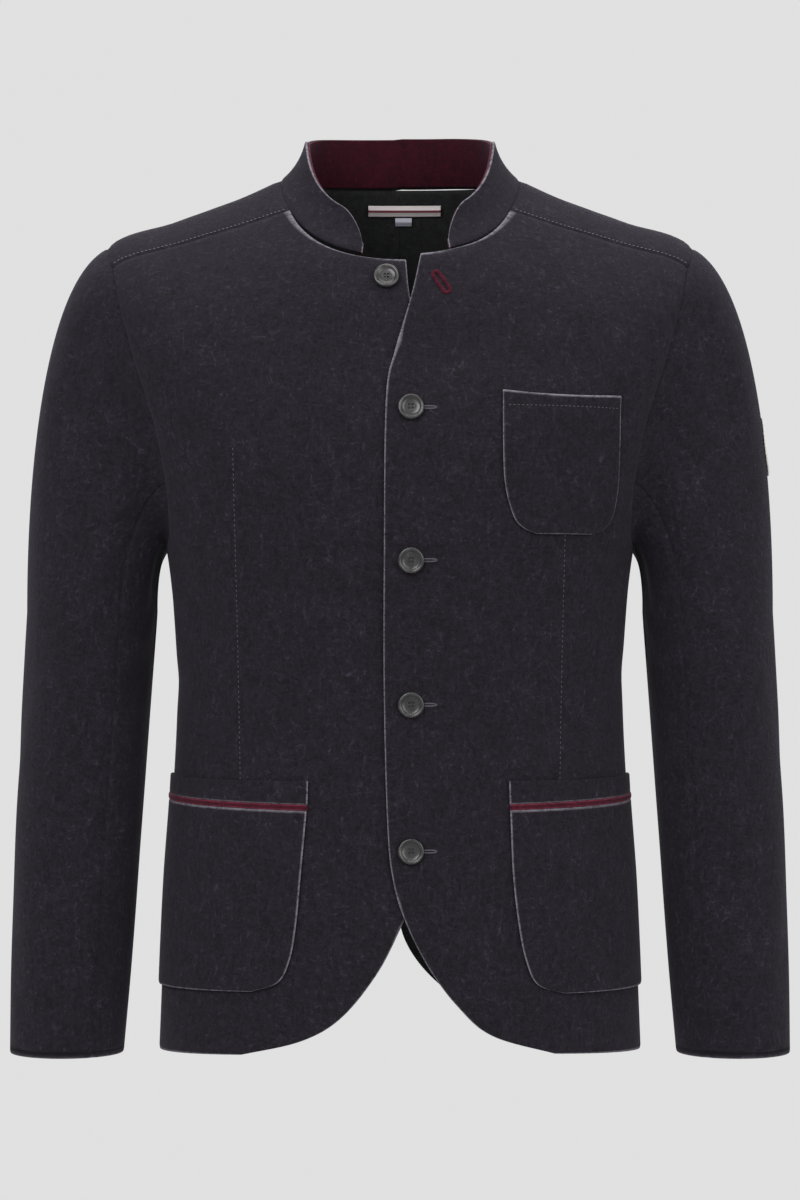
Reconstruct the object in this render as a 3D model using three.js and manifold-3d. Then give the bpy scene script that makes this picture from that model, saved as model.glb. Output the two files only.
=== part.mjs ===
// A man's stand-collar jacket of boiled wool, filled out as if worn but hollow, in millimetres.
// Z is up, the front faces -Y and the wearer's left is +X. The origin is at the middle of the neck,
// level with the foot of the collar at the shoulders.
//
// The body is one smooth form: `around` runs in degrees from the middle of the front (0) over the
// wearer's left side (90) to the middle of the back (180), with minus on the wearer's right, and
// `down` runs in millimetres of drop from the neck over the shoulders to the hem. Every panel is a
// region of that form with a wall's thickness, and what is sewn on a panel is its form moved out.

import * as THREE from "three";
import Module from "manifold-3d";
import { mergeVertices } from "three/addons/utils/BufferGeometryUtils.js";

// Cloth and trims
const WOOL = 2.3; // boiled wool of the body
const FELT = 1.5; // wine-red felt of the collar's inside
const PATCH = 2.0; // patch pockets and pocket bands
const TAPE = 0.7; // woven label, size tag and sleeve badge
const SEAM = 0.3; // gap between pieces at a seam
const LAY = 0.9; // gap under a piece that lies on a curved panel
const OVERLAP = 3.3; // how far the left front stands off the form where it laps the right one

// Buttons
const BUTTON_RADIUS = 10.3;
const BUTTON_HEIGHT = 3.6;
const BUTTON_HOLE_RADIUS = 0.9;
const BUTTON_HOLE_SPREAD = 1.9;
const BUTTON_STAND = 0.6;
const BUTTON_LINE = 8.6; // the fastened buttons' distance left of the middle
const BUTTON_HEIGHTS = [-185.5, -303.8, -416.8, -531.3];
const TOP_BUTTON = { across: -10.6, height: -80 };

// Rings of the body. zFront, zSide and zBack are the ring's heights, half its half width, front and
// back its depths, square how boxy its plan is, ridge how round it is over the shoulder.
const ring = (down, zFront, zSide, zBack, half, front, back, square, ridge) => (
  { down, zFront, zSide, zBack, half, front, back, square, ridge });
const BODY_RINGS = [
  ring(0, -60, 9, 11, 98, 85, 78, 2.4, 0.06),
  ring(32, -72, -5, -12, 128, 93, 87, 2.4, 0.08),
  ring(90, -100, -25, -62, 182, 104, 102, 2.5, 0.1),
  ring(150, -136, -47, -112, 238, 114, 112, 2.7, 0.1),
  ring(210, -180, -105, -165, 236, 126, 118, 2.8, 0.3),
  ring(290, -228, -190, -232, 213, 133, 121, 2.7, 0.5),
  ring(394, -292, -292, -292, 191, 132, 118, 2.5, 0.5),
  ring(445, -343, -343, -343, 185, 128, 110, 2.4, 0.5),
  ring(511, -409, -409, -409, 182, 123, 104, 2.4, 0.5),
  ring(585, -483, -483, -483, 185, 124, 111, 2.4, 0.5),
  ring(670, -568, -568, -568, 191, 129, 122, 2.4, 0.5),
  ring(810, -708, -708, -708, 197, 133, 130, 2.4, 0.5),
];

// Rings of a sleeve below the underarm: its centre's place out and forward, its half width and depth.
const SLEEVE_RINGS = [
  { height: -345, out: 252, forward: 0, wide: 53.2, deep: 67 },
  { height: -433, out: 257.5, forward: 5, wide: 52.5, deep: 62 },
  { height: -532, out: 262.5, forward: 14, wide: 51, deep: 56 },
  { height: -630, out: 267, forward: 22, wide: 48.8, deep: 50 },
  { height: -701, out: 270.2, forward: 27, wide: 46, deep: 45 },
];

// The largest soft folds. Body folds are placed by around and down, sleeve folds by turn and height;
// reach is the half length and half width, lean tilts the fold, depth is out (+) or in (-).
const BODY_FOLDS = [
  { around: 62, down: 425, long: 60, wide: 14, lean: 40, depth: -2.2 },
  { around: -60, down: 432, long: 55, wide: 15, lean: -42, depth: -2.4 },
  { around: 74, down: 505, long: 45, wide: 16, lean: 75, depth: -2.0 },
  { around: -76, down: 512, long: 50, wide: 15, lean: -72, depth: -1.8 },
  { around: 150, down: 490, long: 60, wide: 18, lean: 65, depth: -2.2 },
  { around: -146, down: 500, long: 55, wide: 17, lean: -68, depth: -2.4 },
];
const SLEEVE_FOLDS = [
  { turn: 150, height: -400, long: 50, wide: 16, lean: 30, depth: -2.6 },
  { turn: 60, height: -455, long: 55, wide: 20, lean: -35, depth: -2.2 },
  { turn: -130, height: -480, long: 50, wide: 18, lean: 25, depth: -2.4 },
  { turn: 120, height: -520, long: 45, wide: 16, lean: 40, depth: -1.8 },
];

// Front edges, from the neck down: across is to the wearer's left of the middle.
const LEFT_FRONT_EDGE = [
  { across: 16.4, height: -62 }, { across: 8.6, height: -97 }, { across: -3.9, height: -140 },
  { across: -11, height: -179 }, { across: -12.5, height: -304 }, { across: -12.5, height: -413 },
  { across: -9.7, height: -514 }, { across: -5, height: -556 }, { across: 4.7, height: -587 },
  { across: 22.6, height: -622 }, { across: 45, height: -652 }, { across: 71.7, height: -675 },
  { across: 122, height: -691 },
];
const RIGHT_FRONT_EDGE = [
  { across: 4.7, height: -65 }, { across: 8, height: -97 }, { across: 18, height: -140 },
  { across: 26, height: -179 }, { across: 27, height: -304 }, { across: 27, height: -413 },
  { across: 24, height: -514 }, { across: 16, height: -556 }, { across: 2.3, height: -587 },
  { across: -17, height: -625 }, { across: -45, height: -660 }, { across: -76, height: -679 },
  { across: -125, height: -692 },
];
// The back's middle edge runs down the centre seam and rounds off into an open vent.
const VENT = { top: 712, reach: 33, bottom: 801 };
const HEM = 803;
const FAN_FROM = 640;

// Seams, as places on the form
const SHOULDER_SEAM = { neck: 63, arm: 74, down: 155 };
const ARMHOLE = {
  top: 90, bottom: 96, topDown: 150, bottomDown: 394, frontHollow: 31, backHollow: 27, roundness: 0.4,
};
const SLEEVE_SEAM_TURN = 128;
// Sleeve cap: how far it runs out from the armhole and down onto the sleeve, over the top and under.
const CAP = { reachOver: 50, reachUnder: 9, riseOver: 150, riseUnder: 42, head: 0.6 };

// Collar: front ends by around, then its height and inward lean at the back, side and front.
const COLLAR = { rightEnd: -14, leftEnd: 19.5, corner: 15, cornerPower: 0.5 };
const COLLAR_LEAN = [
  { around: 0, height: 34, lean: 30 },
  { around: 45, height: 37, lean: 38 },
  { around: 90, height: 38, lean: 43 },
  { around: 135, height: 41, lean: 24 },
  { around: 180, height: 42, lean: 12 },
];

// Pockets: inner is the edge nearest the middle, outer the edge nearest the side seam.
const HIP_BAND = { top: 579, frontHeight: 18.5, sideHeight: 14.5, piping: 4.2, outer: 93 };
const HIP_EDGES = {
  right: [
    { across: -73, height: -503 }, { across: -77, height: -547 }, { across: -81, height: -590 },
    { across: -86, height: -617 }, { across: -95, height: -634 }, { across: -116, height: -642 },
  ],
  left: [
    { across: 86, height: -500 }, { across: 88, height: -550 }, { across: 92.5, height: -590 },
    { across: 98, height: -617 }, { across: 107, height: -636 }, { across: 128, height: -644 },
  ],
};
const HIP_BOTTOM = 749;
const HIP_INNER = { right: -72, left: 85.5 };
const CHEST_INNER = [
  { across: 80.3, height: -171 }, { across: 80.3, height: -221 }, { across: 82, height: -247 },
  { across: 88, height: -269 }, { across: 95, height: -278 }, { across: 106, height: -283 },
];
const CHEST_OUTER = [
  { across: 173, height: -174 }, { across: 172, height: -221 }, { across: 171, height: -247 },
  { across: 167, height: -268 }, { across: 160, height: -278 }, { across: 150, height: -283 },
];

// Bound buttonhole by the neck, the neck label, the size tag and the round badge on the left sleeve
const BOUND_HOLE = {
  across: 32.5, height: -85.6, half: 11, side: 4.2, slit: 1.5, lip: 2.4, thick: 1.0, slope: -55,
};
const NECK_LABEL = { across: 4, down: 17, half: 31, tall: 12 };
const SIZE_TAG = { across: 3, down: 30.5, half: 7, tall: 8 };
const TAPE_BEHIND = 0.7; // gap between the back and the tape
const BADGE = { height: -209, radius: 24 };

const COLOURS = {
  wool: 0x3a3740, reverse: 0x3c3f3c, felt: 0x5a0a24, piping: 0x7a1030, label: 0xd8d2cf, tag: 0xc9c9d4,
  badge: 0x7d807c, horn: 0x2f2f31,
};

// ---- small mathematics

const { abs, sqrt, sin, cos, sign, PI, min, max, hypot, round } = Math;
const radians = (degrees) => (degrees * PI) / 180;
const mix = (a, b, u) => a + (b - a) * u;
const ease = (u) => {
  const v = min(max(u, 0), 1);
  return v * v * (3 - 2 * v);
};
const signedPower = (value, power) => sign(value) * abs(value) ** power;
const range = (count) => Array.from({ length: count }, (_, index) => index);

/** Every column of a table of rows at `key` = at, by a cubic whose slopes come from the neighbours. */
function lookUp(rows, key, at) {
  const order = rows[1][key] > rows[0][key] ? 1 : -1;
  let i = 0;
  while (i < rows.length - 2 && order * at > order * rows[i + 1][key]) i += 1;
  const before = rows[max(i - 1, 0)];
  const [low, high] = [rows[i], rows[i + 1]];
  const after = rows[min(i + 2, rows.length - 1)];
  const step = high[key] - low[key];
  const u = min(max((at - low[key]) / step, 0), 1);
  const [u2, u3] = [u * u, u * u * u];
  const out = {};
  for (const column of Object.keys(low)) {
    const slopeLow = ((high[column] - before[column]) / (high[key] - before[key])) * step;
    const slopeHigh = ((after[column] - low[column]) / (after[key] - low[key])) * step;
    out[column] = (2 * u3 - 3 * u2 + 1) * low[column] + (u3 - 2 * u2 + u) * slopeLow
      + (3 * u2 - 2 * u3) * high[column] + (u3 - u2) * slopeHigh;
  }
  return out;
}

/** A soft ridge or trough: a Gaussian long along its lean and narrow across it. */
function foldHeight(fold, across, along) {
  const lean = radians(fold.lean);
  const length = across * sin(lean) + along * cos(lean);
  const width = across * cos(lean) - along * sin(lean);
  return fold.depth * Math.exp(-((length / fold.long) ** 2) - (width / fold.wide) ** 2);
}

// ---- the body's form

/** The body's outer face at `around` degrees and `down` millimetres, with its soft folds. */
function bodyPoint(around, down) {
  const ring = lookUp(BODY_RINGS, "down", down);
  const [c, s] = [cos(radians(around)), sin(radians(around))];
  const power = 2 / ring.square;
  const flat = sqrt(1 + ring.ridge ** 2) - ring.ridge;
  const ridge = (sqrt(c * c + ring.ridge ** 2) - ring.ridge) / flat;
  const point = new THREE.Vector3(
    ring.half * signedPower(s, power),
    -(c > 0 ? ring.front : ring.back) * signedPower(c, power),
    ring.zSide + ((c > 0 ? ring.zFront : ring.zBack) - ring.zSide) * ridge,
  );
  for (const fold of BODY_FOLDS) {
    const lift = foldHeight(fold, (around - fold.around) * 2.8, fold.down - down);
    point.x += lift * s;
    point.y -= lift * c;
  }
  return point;
}

/** The outward unit normal of a surface point(a, b), by small steps. */
function normalOf(point, a, b, stepA, stepB) {
  const alongA = point(a + stepA, b).sub(point(a - stepA, b));
  const alongB = point(a, b + stepB).sub(point(a, b - stepB));
  return alongB.cross(alongA).normalize();
}

const bodyNormal = (around, down) => normalOf(bodyPoint, around, max(down, 1), 0.4, 0.9);

/** The place on the front's form that lies `across` from the middle at a height, by Newton's steps. */
function onFront({ across, height }) {
  let [around, down] = [across * 0.4, max(-height - 10, 20)];
  for (const _ of range(40)) {
    const here = bodyPoint(around, down);
    const stepAround = bodyPoint(around + 0.1, down).sub(here).multiplyScalar(10);
    const stepDown = bodyPoint(around, down + 0.1).sub(here).multiplyScalar(10);
    const [x, z] = [across - here.x, height - here.z];
    const scale = stepAround.x * stepDown.z - stepDown.x * stepAround.z;
    around += min(max((x * stepDown.z - stepDown.x * z) / scale, -6), 6);
    down += min(max((stepAround.x * z - x * stepAround.z) / scale, -40), 40);
    around = min(max(around, -89), 89);
    down = min(max(down, 0), 805);
  }
  return { around, down };
}

/** `count` + 1 places evenly spaced along a list of places, by length on the form. */
function spaced(places, count) {
  const points = places.map((place) => bodyPoint(place.around, place.down));
  const lengths = [0];
  for (let i = 1; i < points.length; i += 1) {
    lengths.push(lengths[i - 1] + points[i].distanceTo(points[i - 1]));
  }
  return range(count + 1).map((step) => placeAt(places, lengths, (lengths.at(-1) * step) / count));
}

function placeAt(places, lengths, length) {
  let i = 0;
  while (i < lengths.length - 2 && length > lengths[i + 1]) i += 1;
  const u = (length - lengths[i]) / (lengths[i + 1] - lengths[i] || 1);
  return {
    around: mix(places[i].around, places[i + 1].around, u),
    down: mix(places[i].down, places[i + 1].down, u),
  };
}

/** A smooth curve through a table of across and height, as places on the front's form. */
function frontCurve(table, count = 60) {
  const knots = table.map((row) => new THREE.Vector3(row.across, 0, row.height));
  const curve = new THREE.CatmullRomCurve3(knots, false, "centripetal");
  return curve.getPoints(count).map((point) => onFront({ across: point.x, height: point.z }));
}

/** The part of a list of places between two values of down, with its ends worked out. */
function cutByDown(places, from, to) {
  const inside = places.filter((place) => place.down > from && place.down < to);
  return [atDown(places, from), ...inside, atDown(places, to)];
}

/** The place where a list of places that runs downwards reaches `down`. */
function atDown(places, down) {
  let i = 0;
  while (i < places.length - 2 && down > places[i + 1].down) i += 1;
  const u = (down - places[i].down) / (places[i + 1].down - places[i].down || 1);
  return { around: mix(places[i].around, places[i + 1].around, min(max(u, 0), 1)), down };
}

// ---- cloth walls

/** A closed wall from rows of { point, normal }: its outer face out by `lift`, its inner `thick` behind. */
function clothWall(rows, thick, lift = 0) {
  const [height, width] = [rows.length, rows[0].length];
  const positions = [];
  for (const depth of [lift, lift - thick]) {
    for (const row of rows) {
      for (const { point, normal } of row) {
        const vertex = point.clone().addScaledVector(normal, depth);
        positions.push(vertex.x, vertex.y, vertex.z);
      }
    }
  }
  const inner = width * height;
  const faces = [];
  const quad = (a, b, c, d) => faces.push(a, b, c, a, c, d);
  for (const i of range(height - 1)) {
    for (const j of range(width - 1)) {
      const [a, b] = [i * width + j, i * width + j + 1];
      const [c, d] = [b + width, a + width];
      quad(a, d, c, b);
      quad(inner + a, inner + b, inner + c, inner + d);
    }
  }
  for (const j of range(width - 1)) {
    const last = (height - 1) * width + j;
    quad(j, j + 1, inner + j + 1, inner + j);
    quad(last + 1, last, inner + last, inner + last + 1);
  }
  for (const i of range(height - 1)) {
    const [left, right] = [i * width, (i + 1) * width - 1];
    quad(left + width, left, inner + left, inner + left + width);
    quad(right, right + width, inner + right + width, inner + right);
  }
  return outwardSolid(positions, faces);
}

/** A geometry from corners and triangles, turned so that its volume is positive. */
function outwardSolid(positions, faces) {
  let volume = 0;
  const corner = (index) => new THREE.Vector3().fromArray(positions, 3 * index);
  for (let i = 0; i < faces.length; i += 3) {
    const [a, b, c] = [corner(faces[i]), corner(faces[i + 1]), corner(faces[i + 2])];
    volume += a.dot(b.cross(c));
  }
  if (volume < 0) faces.reverse();
  const geometry = new THREE.BufferGeometry();
  geometry.setAttribute("position", new THREE.Float32BufferAttribute(positions, 3));
  geometry.setIndex(faces);
  geometry.computeVertexNormals();
  return geometry;
}

/** Rows of points across the form from each inner place to its outer place. */
function rowsBetween(inner, outer, columns) {
  return inner.map((from, row) => range(columns + 1).map((column) => {
    const u = column / columns;
    const around = mix(from.around, outer[row].around, u);
    const down = mix(from.down, outer[row].down, u);
    return { around, down, point: bodyPoint(around, down), normal: bodyNormal(around, down) };
  }));
}

/** Moves a place along the form's rings by `gap` millimetres. */
function nudge({ around, down }, gap) {
  const perDegree = bodyPoint(around + 0.5, down).distanceTo(bodyPoint(around - 0.5, down));
  return { around: around + gap / perDegree, down };
}

// ---- armhole and panels

/** The left armhole's edge from the shoulder ridge to the underarm, along the front or the back. */
function armholeSide(hollow, direction) {
  return range(241).map((step) => {
    const turn = (PI * step) / 240;
    const drop = (1 - cos(turn)) / 2;
    const inward = hollow * max(sin(turn), 0) ** ARMHOLE.roundness;
    return {
      around: mix(ARMHOLE.top, ARMHOLE.bottom, drop) + direction * inward,
      down: mix(ARMHOLE.topDown, ARMHOLE.bottomDown, drop),
    };
  });
}

const FRONT_ARM_STEPS = 8;
const BACK_ARM_STEPS = 10;
const SIDE_STEPS = 6;
const FAN_STEPS = 7;
const SHOULDER_STEPS = 5;
const FRONT_COLUMNS = 12;
const BACK_COLUMNS = 9;

const frontSide = armholeSide(ARMHOLE.frontHollow, -1);
const backSide = armholeSide(ARMHOLE.backHollow, 1);
const shoulderIndex = frontSide.findIndex((place) => place.around < SHOULDER_SEAM.arm);
const frontArm = spaced(frontSide.slice(shoulderIndex), FRONT_ARM_STEPS);
const overShoulder = frontSide.slice(0, shoulderIndex + 1).reverse();
const backArm = spaced([...overShoulder, ...backSide.slice(1)], BACK_ARM_STEPS);
const mirror = (place) => ({ around: -place.around, down: place.down });
const gapSide = (direction) => (place) => nudge(place, direction * SEAM / 2);

const shoulderSeam = range(SHOULDER_STEPS).map((step) => ({
  around: mix(SHOULDER_SEAM.neck, SHOULDER_SEAM.arm, step / SHOULDER_STEPS),
  down: mix(0, frontArm[0].down, step / SHOULDER_STEPS),
}));
const sideSeam = (from, to, count) => range(count).map((step) => ({
  around: ARMHOLE.bottom,
  down: mix(from, to, (step + 1) / count),
}));
const sideUpper = sideSeam(ARMHOLE.bottomDown, FAN_FROM, SIDE_STEPS);
const sideLower = sideSeam(FAN_FROM, HEM, FAN_STEPS);

/** The outer edge of a left panel: shoulder seam, armhole and side seam, half a seam gap clear. */
function panelOuter(arm, direction) {
  const clear = gapSide(direction);
  return [
    ...shoulderSeam.map(clear), clear(arm[0]), ...arm.slice(1, -1), clear(arm.at(-1)),
    ...sideUpper.map(clear), ...sideLower.map(clear),
  ];
}

/** Pairs an outer edge with a middle edge: level down to the fan, then evenly along the rounded hem. */
function panelInner(outer, edge, start) {
  const level = outer.slice(0, outer.length - FAN_STEPS).map((place) => (
    atDown(edge, max(place.down, start))));
  const fan = spaced(cutByDown(edge, FAN_FROM, edge.at(-1).down), FAN_STEPS).slice(1);
  return [...level, ...fan];
}

/** How far the left front stands off the form: the whole overlap at its edge, nothing by the chest. */
const overlapLift = (point) => OVERLAP * ease((78 - point.x) / 44);

function frontRows(table, side) {
  const flip = side > 0 ? (place) => place : mirror;
  const outer = panelOuter(frontArm, -1).map(flip);
  const edge = frontCurve(table);
  const rows = rowsBetween(panelInner(outer, edge, edge[0].down), outer, FRONT_COLUMNS);
  if (side > 0) liftRows(rows);
  return rows;
}

/** Moves the points of left-front rows out by the overlap. */
function liftRows(rows) {
  for (const row of rows) {
    for (const cell of row) cell.point.addScaledVector(cell.normal, overlapLift(cell.point));
  }
}

/** The back's middle edge: down the centre seam, then rounded away into the vent. */
function ventEdge() {
  const straight = range(20).map((step) => ({ around: 180, down: (VENT.top * step) / 20 }));
  const rounded = range(21).map((step) => {
    const turn = (PI / 2) * (step / 20);
    return { around: 180 - VENT.reach * (1 - cos(turn)), down: mix(VENT.top, VENT.bottom, sin(turn)) };
  });
  return [...straight, ...rounded];
}

function backRows(side) {
  const flip = side > 0 ? (place) => place : mirror;
  const outer = panelOuter(backArm, 1);
  const edge = ventEdge().map(gapSide(-1));
  return rowsBetween(panelInner(outer, edge, 0).map(flip), outer.map(flip), BACK_COLUMNS);
}

const panels = {
  front_right: frontRows(RIGHT_FRONT_EDGE, -1),
  front_left: frontRows(LEFT_FRONT_EDGE, 1),
  back_right: backRows(-1),
  back_left: backRows(1),
};

// ---- sleeves

const fineFront = spaced(frontSide, 120);
const fineBack = spaced(backSide, 120);
const frontLength = lengthOf(frontSide);
const backLength = lengthOf(backSide);

/** The length of a list of places on the form. */
function lengthOf(places) {
  const points = places.map((place) => bodyPoint(place.around, place.down));
  return range(points.length - 1).reduce((sum, i) => sum + points[i].distanceTo(points[i + 1]), 0);
}

/** The armhole place at a turn: 0 at the shoulder ridge, 180 at the underarm, minus at the back. */
function armholePlace(turn) {
  const wrapped = turn > 180 ? turn - 360 : turn < -180 ? turn + 360 : turn;
  const fine = wrapped >= 0 ? fineFront : fineBack;
  const at = min((abs(wrapped) / 180) * 120, 119.999);
  const i = Math.floor(at);
  return {
    around: mix(fine[i].around, fine[i + 1].around, at - i),
    down: mix(fine[i].down, fine[i + 1].down, at - i),
  };
}

/** The lower sleeve's point: an ellipse at a height, with the sleeve's soft folds. */
function sleeveTube(turn, height) {
  const ring = lookUp(SLEEVE_RINGS, "height", height);
  const [c, s] = [cos(radians(turn)), sin(radians(turn))];
  const near = turn > 180 ? turn - 360 : turn < -180 ? turn + 360 : turn;
  const lift = SLEEVE_FOLDS.reduce((sum, fold) => (
    sum + foldHeight(fold, near - fold.turn, height - fold.height)), 0);
  return new THREE.Vector3(
    ring.out + (ring.wide + lift) * c,
    -ring.forward - (ring.deep + lift) * s,
    height,
  );
}

/** The left sleeve's outer face: `along` 0 to 1 is the cap down to underarm level, 1 to 2 the tube. */
function sleevePoint(turn, along) {
  const top = SLEEVE_RINGS[0].height;
  if (along >= 1) return sleeveTube(turn, mix(top, SLEEVE_RINGS.at(-1).height, along - 1));
  const place = armholePlace(turn);
  const start = bodyPoint(place.around, place.down);
  const away = armholeAway(turn, place);
  const end = sleeveTube(turn, top);
  const under = (1 - cos(radians(turn))) / 2;
  const reach = mix(CAP.reachOver, CAP.reachUnder, under ** 0.6);
  const rise = mix(CAP.riseOver, CAP.riseUnder, under ** 0.8);
  const first = start.addScaledVector(away, SEAM + 0.05);
  const head = CAP.head * max(cos(radians(turn)), 0);
  const bulge = away.clone().addScaledVector(bodyNormal(place.around, place.down), head).normalize();
  const second = first.clone().addScaledVector(bulge, reach);
  const upward = sleeveTube(turn, top + 1).sub(sleeveTube(turn, top));
  const third = end.clone().addScaledVector(upward, rise);
  return new THREE.CubicBezierCurve3(first, second, third, end).getPoint(max(along, 0));
}

/** The direction in the body's face, square to the armhole, that leaves the panel. */
function armholeAway(turn, place) {
  const [before, after] = [armholePlace(turn - 2), armholePlace(turn + 2)];
  const edge = bodyPoint(after.around, after.down).sub(bodyPoint(before.around, before.down));
  return bodyNormal(place.around, place.down).cross(edge).normalize();
}

const CAP_STEPS = [0, 0.08, 0.17, 0.28, 0.42, 0.6, 0.8];
const TUBE_STEPS = range(8).map((step) => 1 + step / 7);

/** The turns of the armhole's own steps, from the front seam up over the shoulder and down the back. */
function armTurns() {
  const ridge = lengthOf(frontSide.slice(0, shoulderIndex + 1));
  const front = frontArm.map((_, i) => {
    const length = mix(ridge, frontLength, i / FRONT_ARM_STEPS);
    return (180 * length) / frontLength;
  });
  const back = backArm.map((_, i) => {
    const length = (i / BACK_ARM_STEPS) * (ridge + backLength) - ridge;
    return length < 0 ? (-180 * length) / frontLength : (-180 * length) / backLength;
  });
  return [...back.reverse(), ...front.slice(1)];
}

/** The sleeve's turns from the underarm up the back, over the top and down the front to the underarm. */
const sleeveTurns = armTurns();

/** Moves a turn along the sleeve by `gap` millimetres at one level. */
function nudgeTurn(turn, along, gap) {
  const perDegree = sleevePoint(turn + 0.5, along).distanceTo(sleevePoint(turn - 0.5, along));
  return turn + gap / perDegree;
}

/** Rows of a sleeve piece over a run of turns, a seam's clearance in at each end. */
function sleeveRows(turns) {
  const last = turns.length - 1;
  return [...CAP_STEPS, ...TUBE_STEPS].map((along) => turns.map((exact, column) => {
    const ends = column === 0 ? 0.7 * SEAM : column === last ? -0.7 * SEAM : 0;
    const turn = nudgeTurn(exact, along, ends);
    const normal = along === 0
      ? bodyNormal(armholePlace(turn).around, armholePlace(turn).down)
      : normalOf(sleevePoint, turn, along, 0.5, 0.004).negate();
    return { point: sleevePoint(turn, along), normal };
  }));
}

function sleevePiece(turns, side) {
  const geometry = clothWall(sleeveRows(turns), WOOL);
  return side > 0 ? geometry : mirrored(geometry);
}

/** The same solid on the wearer's right. */
function mirrored(geometry) {
  const corners = geometry.getAttribute("position").array;
  const positions = Array.from(corners, (value, i) => (i % 3 ? value : -value));
  return outwardSolid(positions, Array.from(geometry.getIndex().array));
}

/** The sleeve's two pieces meet at the armhole steps nearest the seams' turn. */
const seamStep = (sign) => sleeveTurns.reduce((best, turn, i) => (
  abs(turn - sign * SLEEVE_SEAM_TURN) < abs(sleeveTurns[best] - sign * SLEEVE_SEAM_TURN) ? i : best), 0);
const topTurns = sleeveTurns.slice(seamStep(-1), seamStep(1) + 1);
const underTurns = [
  ...sleeveTurns.slice(seamStep(1), -1),
  ...sleeveTurns.slice(0, seamStep(-1) + 1).map((turn) => turn + 360),
];

// ---- collar

/** The collar's outer face: `around` as on the body, `rise` 0 at the neck seam to 1 at its edge. */
function collarPoint(around, rise) {
  const foot = bodyPoint(around, 0);
  const { height, lean } = lookUp(COLLAR_LEAN, "around", abs(around));
  const outward = bodyPoint(around + 0.5, 0).sub(bodyPoint(around - 0.5, 0));
  outward.cross(new THREE.Vector3(0, 0, 1)).setZ(0).normalize();
  const angle = radians(lean) * mix(1.25, 0.75, rise);
  const tall = height * rise;
  return new THREE.Vector3(
    foot.x - outward.x * tall * sin(angle),
    foot.y - outward.y * tall * sin(angle),
    foot.z + SEAM + tall * cos(angle),
  );
}

/** How much of its height the collar keeps at a place: all of it but for its rounded front corners. */
function collarCorner(around) {
  const end = around > 0 ? COLLAR.leftEnd : -COLLAR.rightEnd;
  const u = min((abs(around) - end) / COLLAR.corner, 1);
  return max(1 - (1 - u) ** 2, 0.06) ** COLLAR.cornerPower;
}

/** The collar's columns: its left end, the panels' own columns at the neck, and its right end. */
function collarColumns() {
  const neckOf = (name) => panels[name][0].map((cell) => cell.around);
  const left = neckOf("front_left").filter((around) => around > COLLAR.leftEnd + 1.5);
  const right = neckOf("front_right").filter((around) => around < COLLAR.rightEnd - 1.5);
  return [
    COLLAR.leftEnd, ...left, ...neckOf("back_left").reverse(), ...neckOf("back_right"),
    ...right.reverse(), COLLAR.rightEnd,
  ];
}

function collarLayer(lift, thick, foot, edge) {
  const arounds = collarColumns();
  const rows = [foot, 0.33, 0.67, edge].map((rise) => arounds.map((around) => {
    const level = rise * collarCorner(around);
    const point = collarPoint(around, level);
    if (around > 0) point.addScaledVector(bodyNormal(around, 0.5), overlapLift(point));
    const normal = rise === 0
      ? bodyNormal(around, 0.5)
      : normalOf(collarPoint, around, max(level, 0.02), 0.5, 0.01).negate();
    return { point, normal };
  }));
  return clothWall(rows, thick, lift);
}

// ---- pieces sewn on the fronts

/** A patch on a front from its inner and outer edges; the left front's stands off with it. */
function frontPatch(inner, outer, columns, rows, thick, lift) {
  const cells = rowsBetween(spaced(inner, rows), spaced(outer, rows), columns);
  if (cells[0][0].point.x > 0) liftRows(cells);
  return clothWall(cells, thick, lift);
}

/** How far down the hip band's lower edge lies, less at the side than in front. */
const bandFoot = (around) => HIP_BAND.top
  + mix(HIP_BAND.frontHeight, HIP_BAND.sideHeight, (abs(around) - 20) / 73);

/** A level strip round the hip from its front end to the side seam. */
function hipStrip(side, topOf, footOf, thick, lift) {
  const start = onFront({ across: side > 0 ? HIP_INNER.left : HIP_INNER.right, height: -490 }).around;
  const arounds = range(11).map((step) => mix(start, side * HIP_BAND.outer, step / 10));
  const cells = range(3).map((row) => arounds.map((around) => {
    const down = mix(topOf(around), footOf(around), row / 2);
    return { point: bodyPoint(around, down), normal: bodyNormal(around, down) };
  }));
  if (side > 0) liftRows(cells);
  return clothWall(cells, thick, lift);
}

function hipBand(side) {
  return hipStrip(side, () => HIP_BAND.top, (around) => bandFoot(around) - SEAM, PATCH, PATCH + LAY);
}

function hipPiping(side) {
  const foot = (around) => bandFoot(around) + HIP_BAND.piping;
  return hipStrip(side, bandFoot, foot, PATCH + 0.6, PATCH + LAY + 0.6);
}

function hipPocket(side) {
  const name = side > 0 ? "left" : "right";
  const top = (around) => bandFoot(around) + HIP_BAND.piping + SEAM;
  const edge = frontCurve(HIP_EDGES[name], 24);
  const first = { around: edge[0].around, down: top(edge[0].around) };
  const inner = [first, ...edge.filter((place) => place.down > first.down + 1)];
  const outer = [top(HIP_BAND.outer), HIP_BOTTOM].map((down) => ({ around: side * HIP_BAND.outer, down }));
  return frontPatch(inner, outer, 10, 7, PATCH, PATCH + LAY);
}

function chestPocket() {
  return frontPatch(frontCurve(CHEST_INNER, 24), frontCurve(CHEST_OUTER, 24), 6, 7, PATCH, PATCH + LAY);
}

/** The place on the left front at a slanted step from the bound buttonhole's middle. */
function boundHolePlace(along, beside) {
  const slope = radians(BOUND_HOLE.slope);
  return onFront({
    across: BOUND_HOLE.across + along * cos(slope) - beside * sin(slope),
    height: BOUND_HOLE.height + along * sin(slope) + beside * cos(slope),
  });
}

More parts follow.
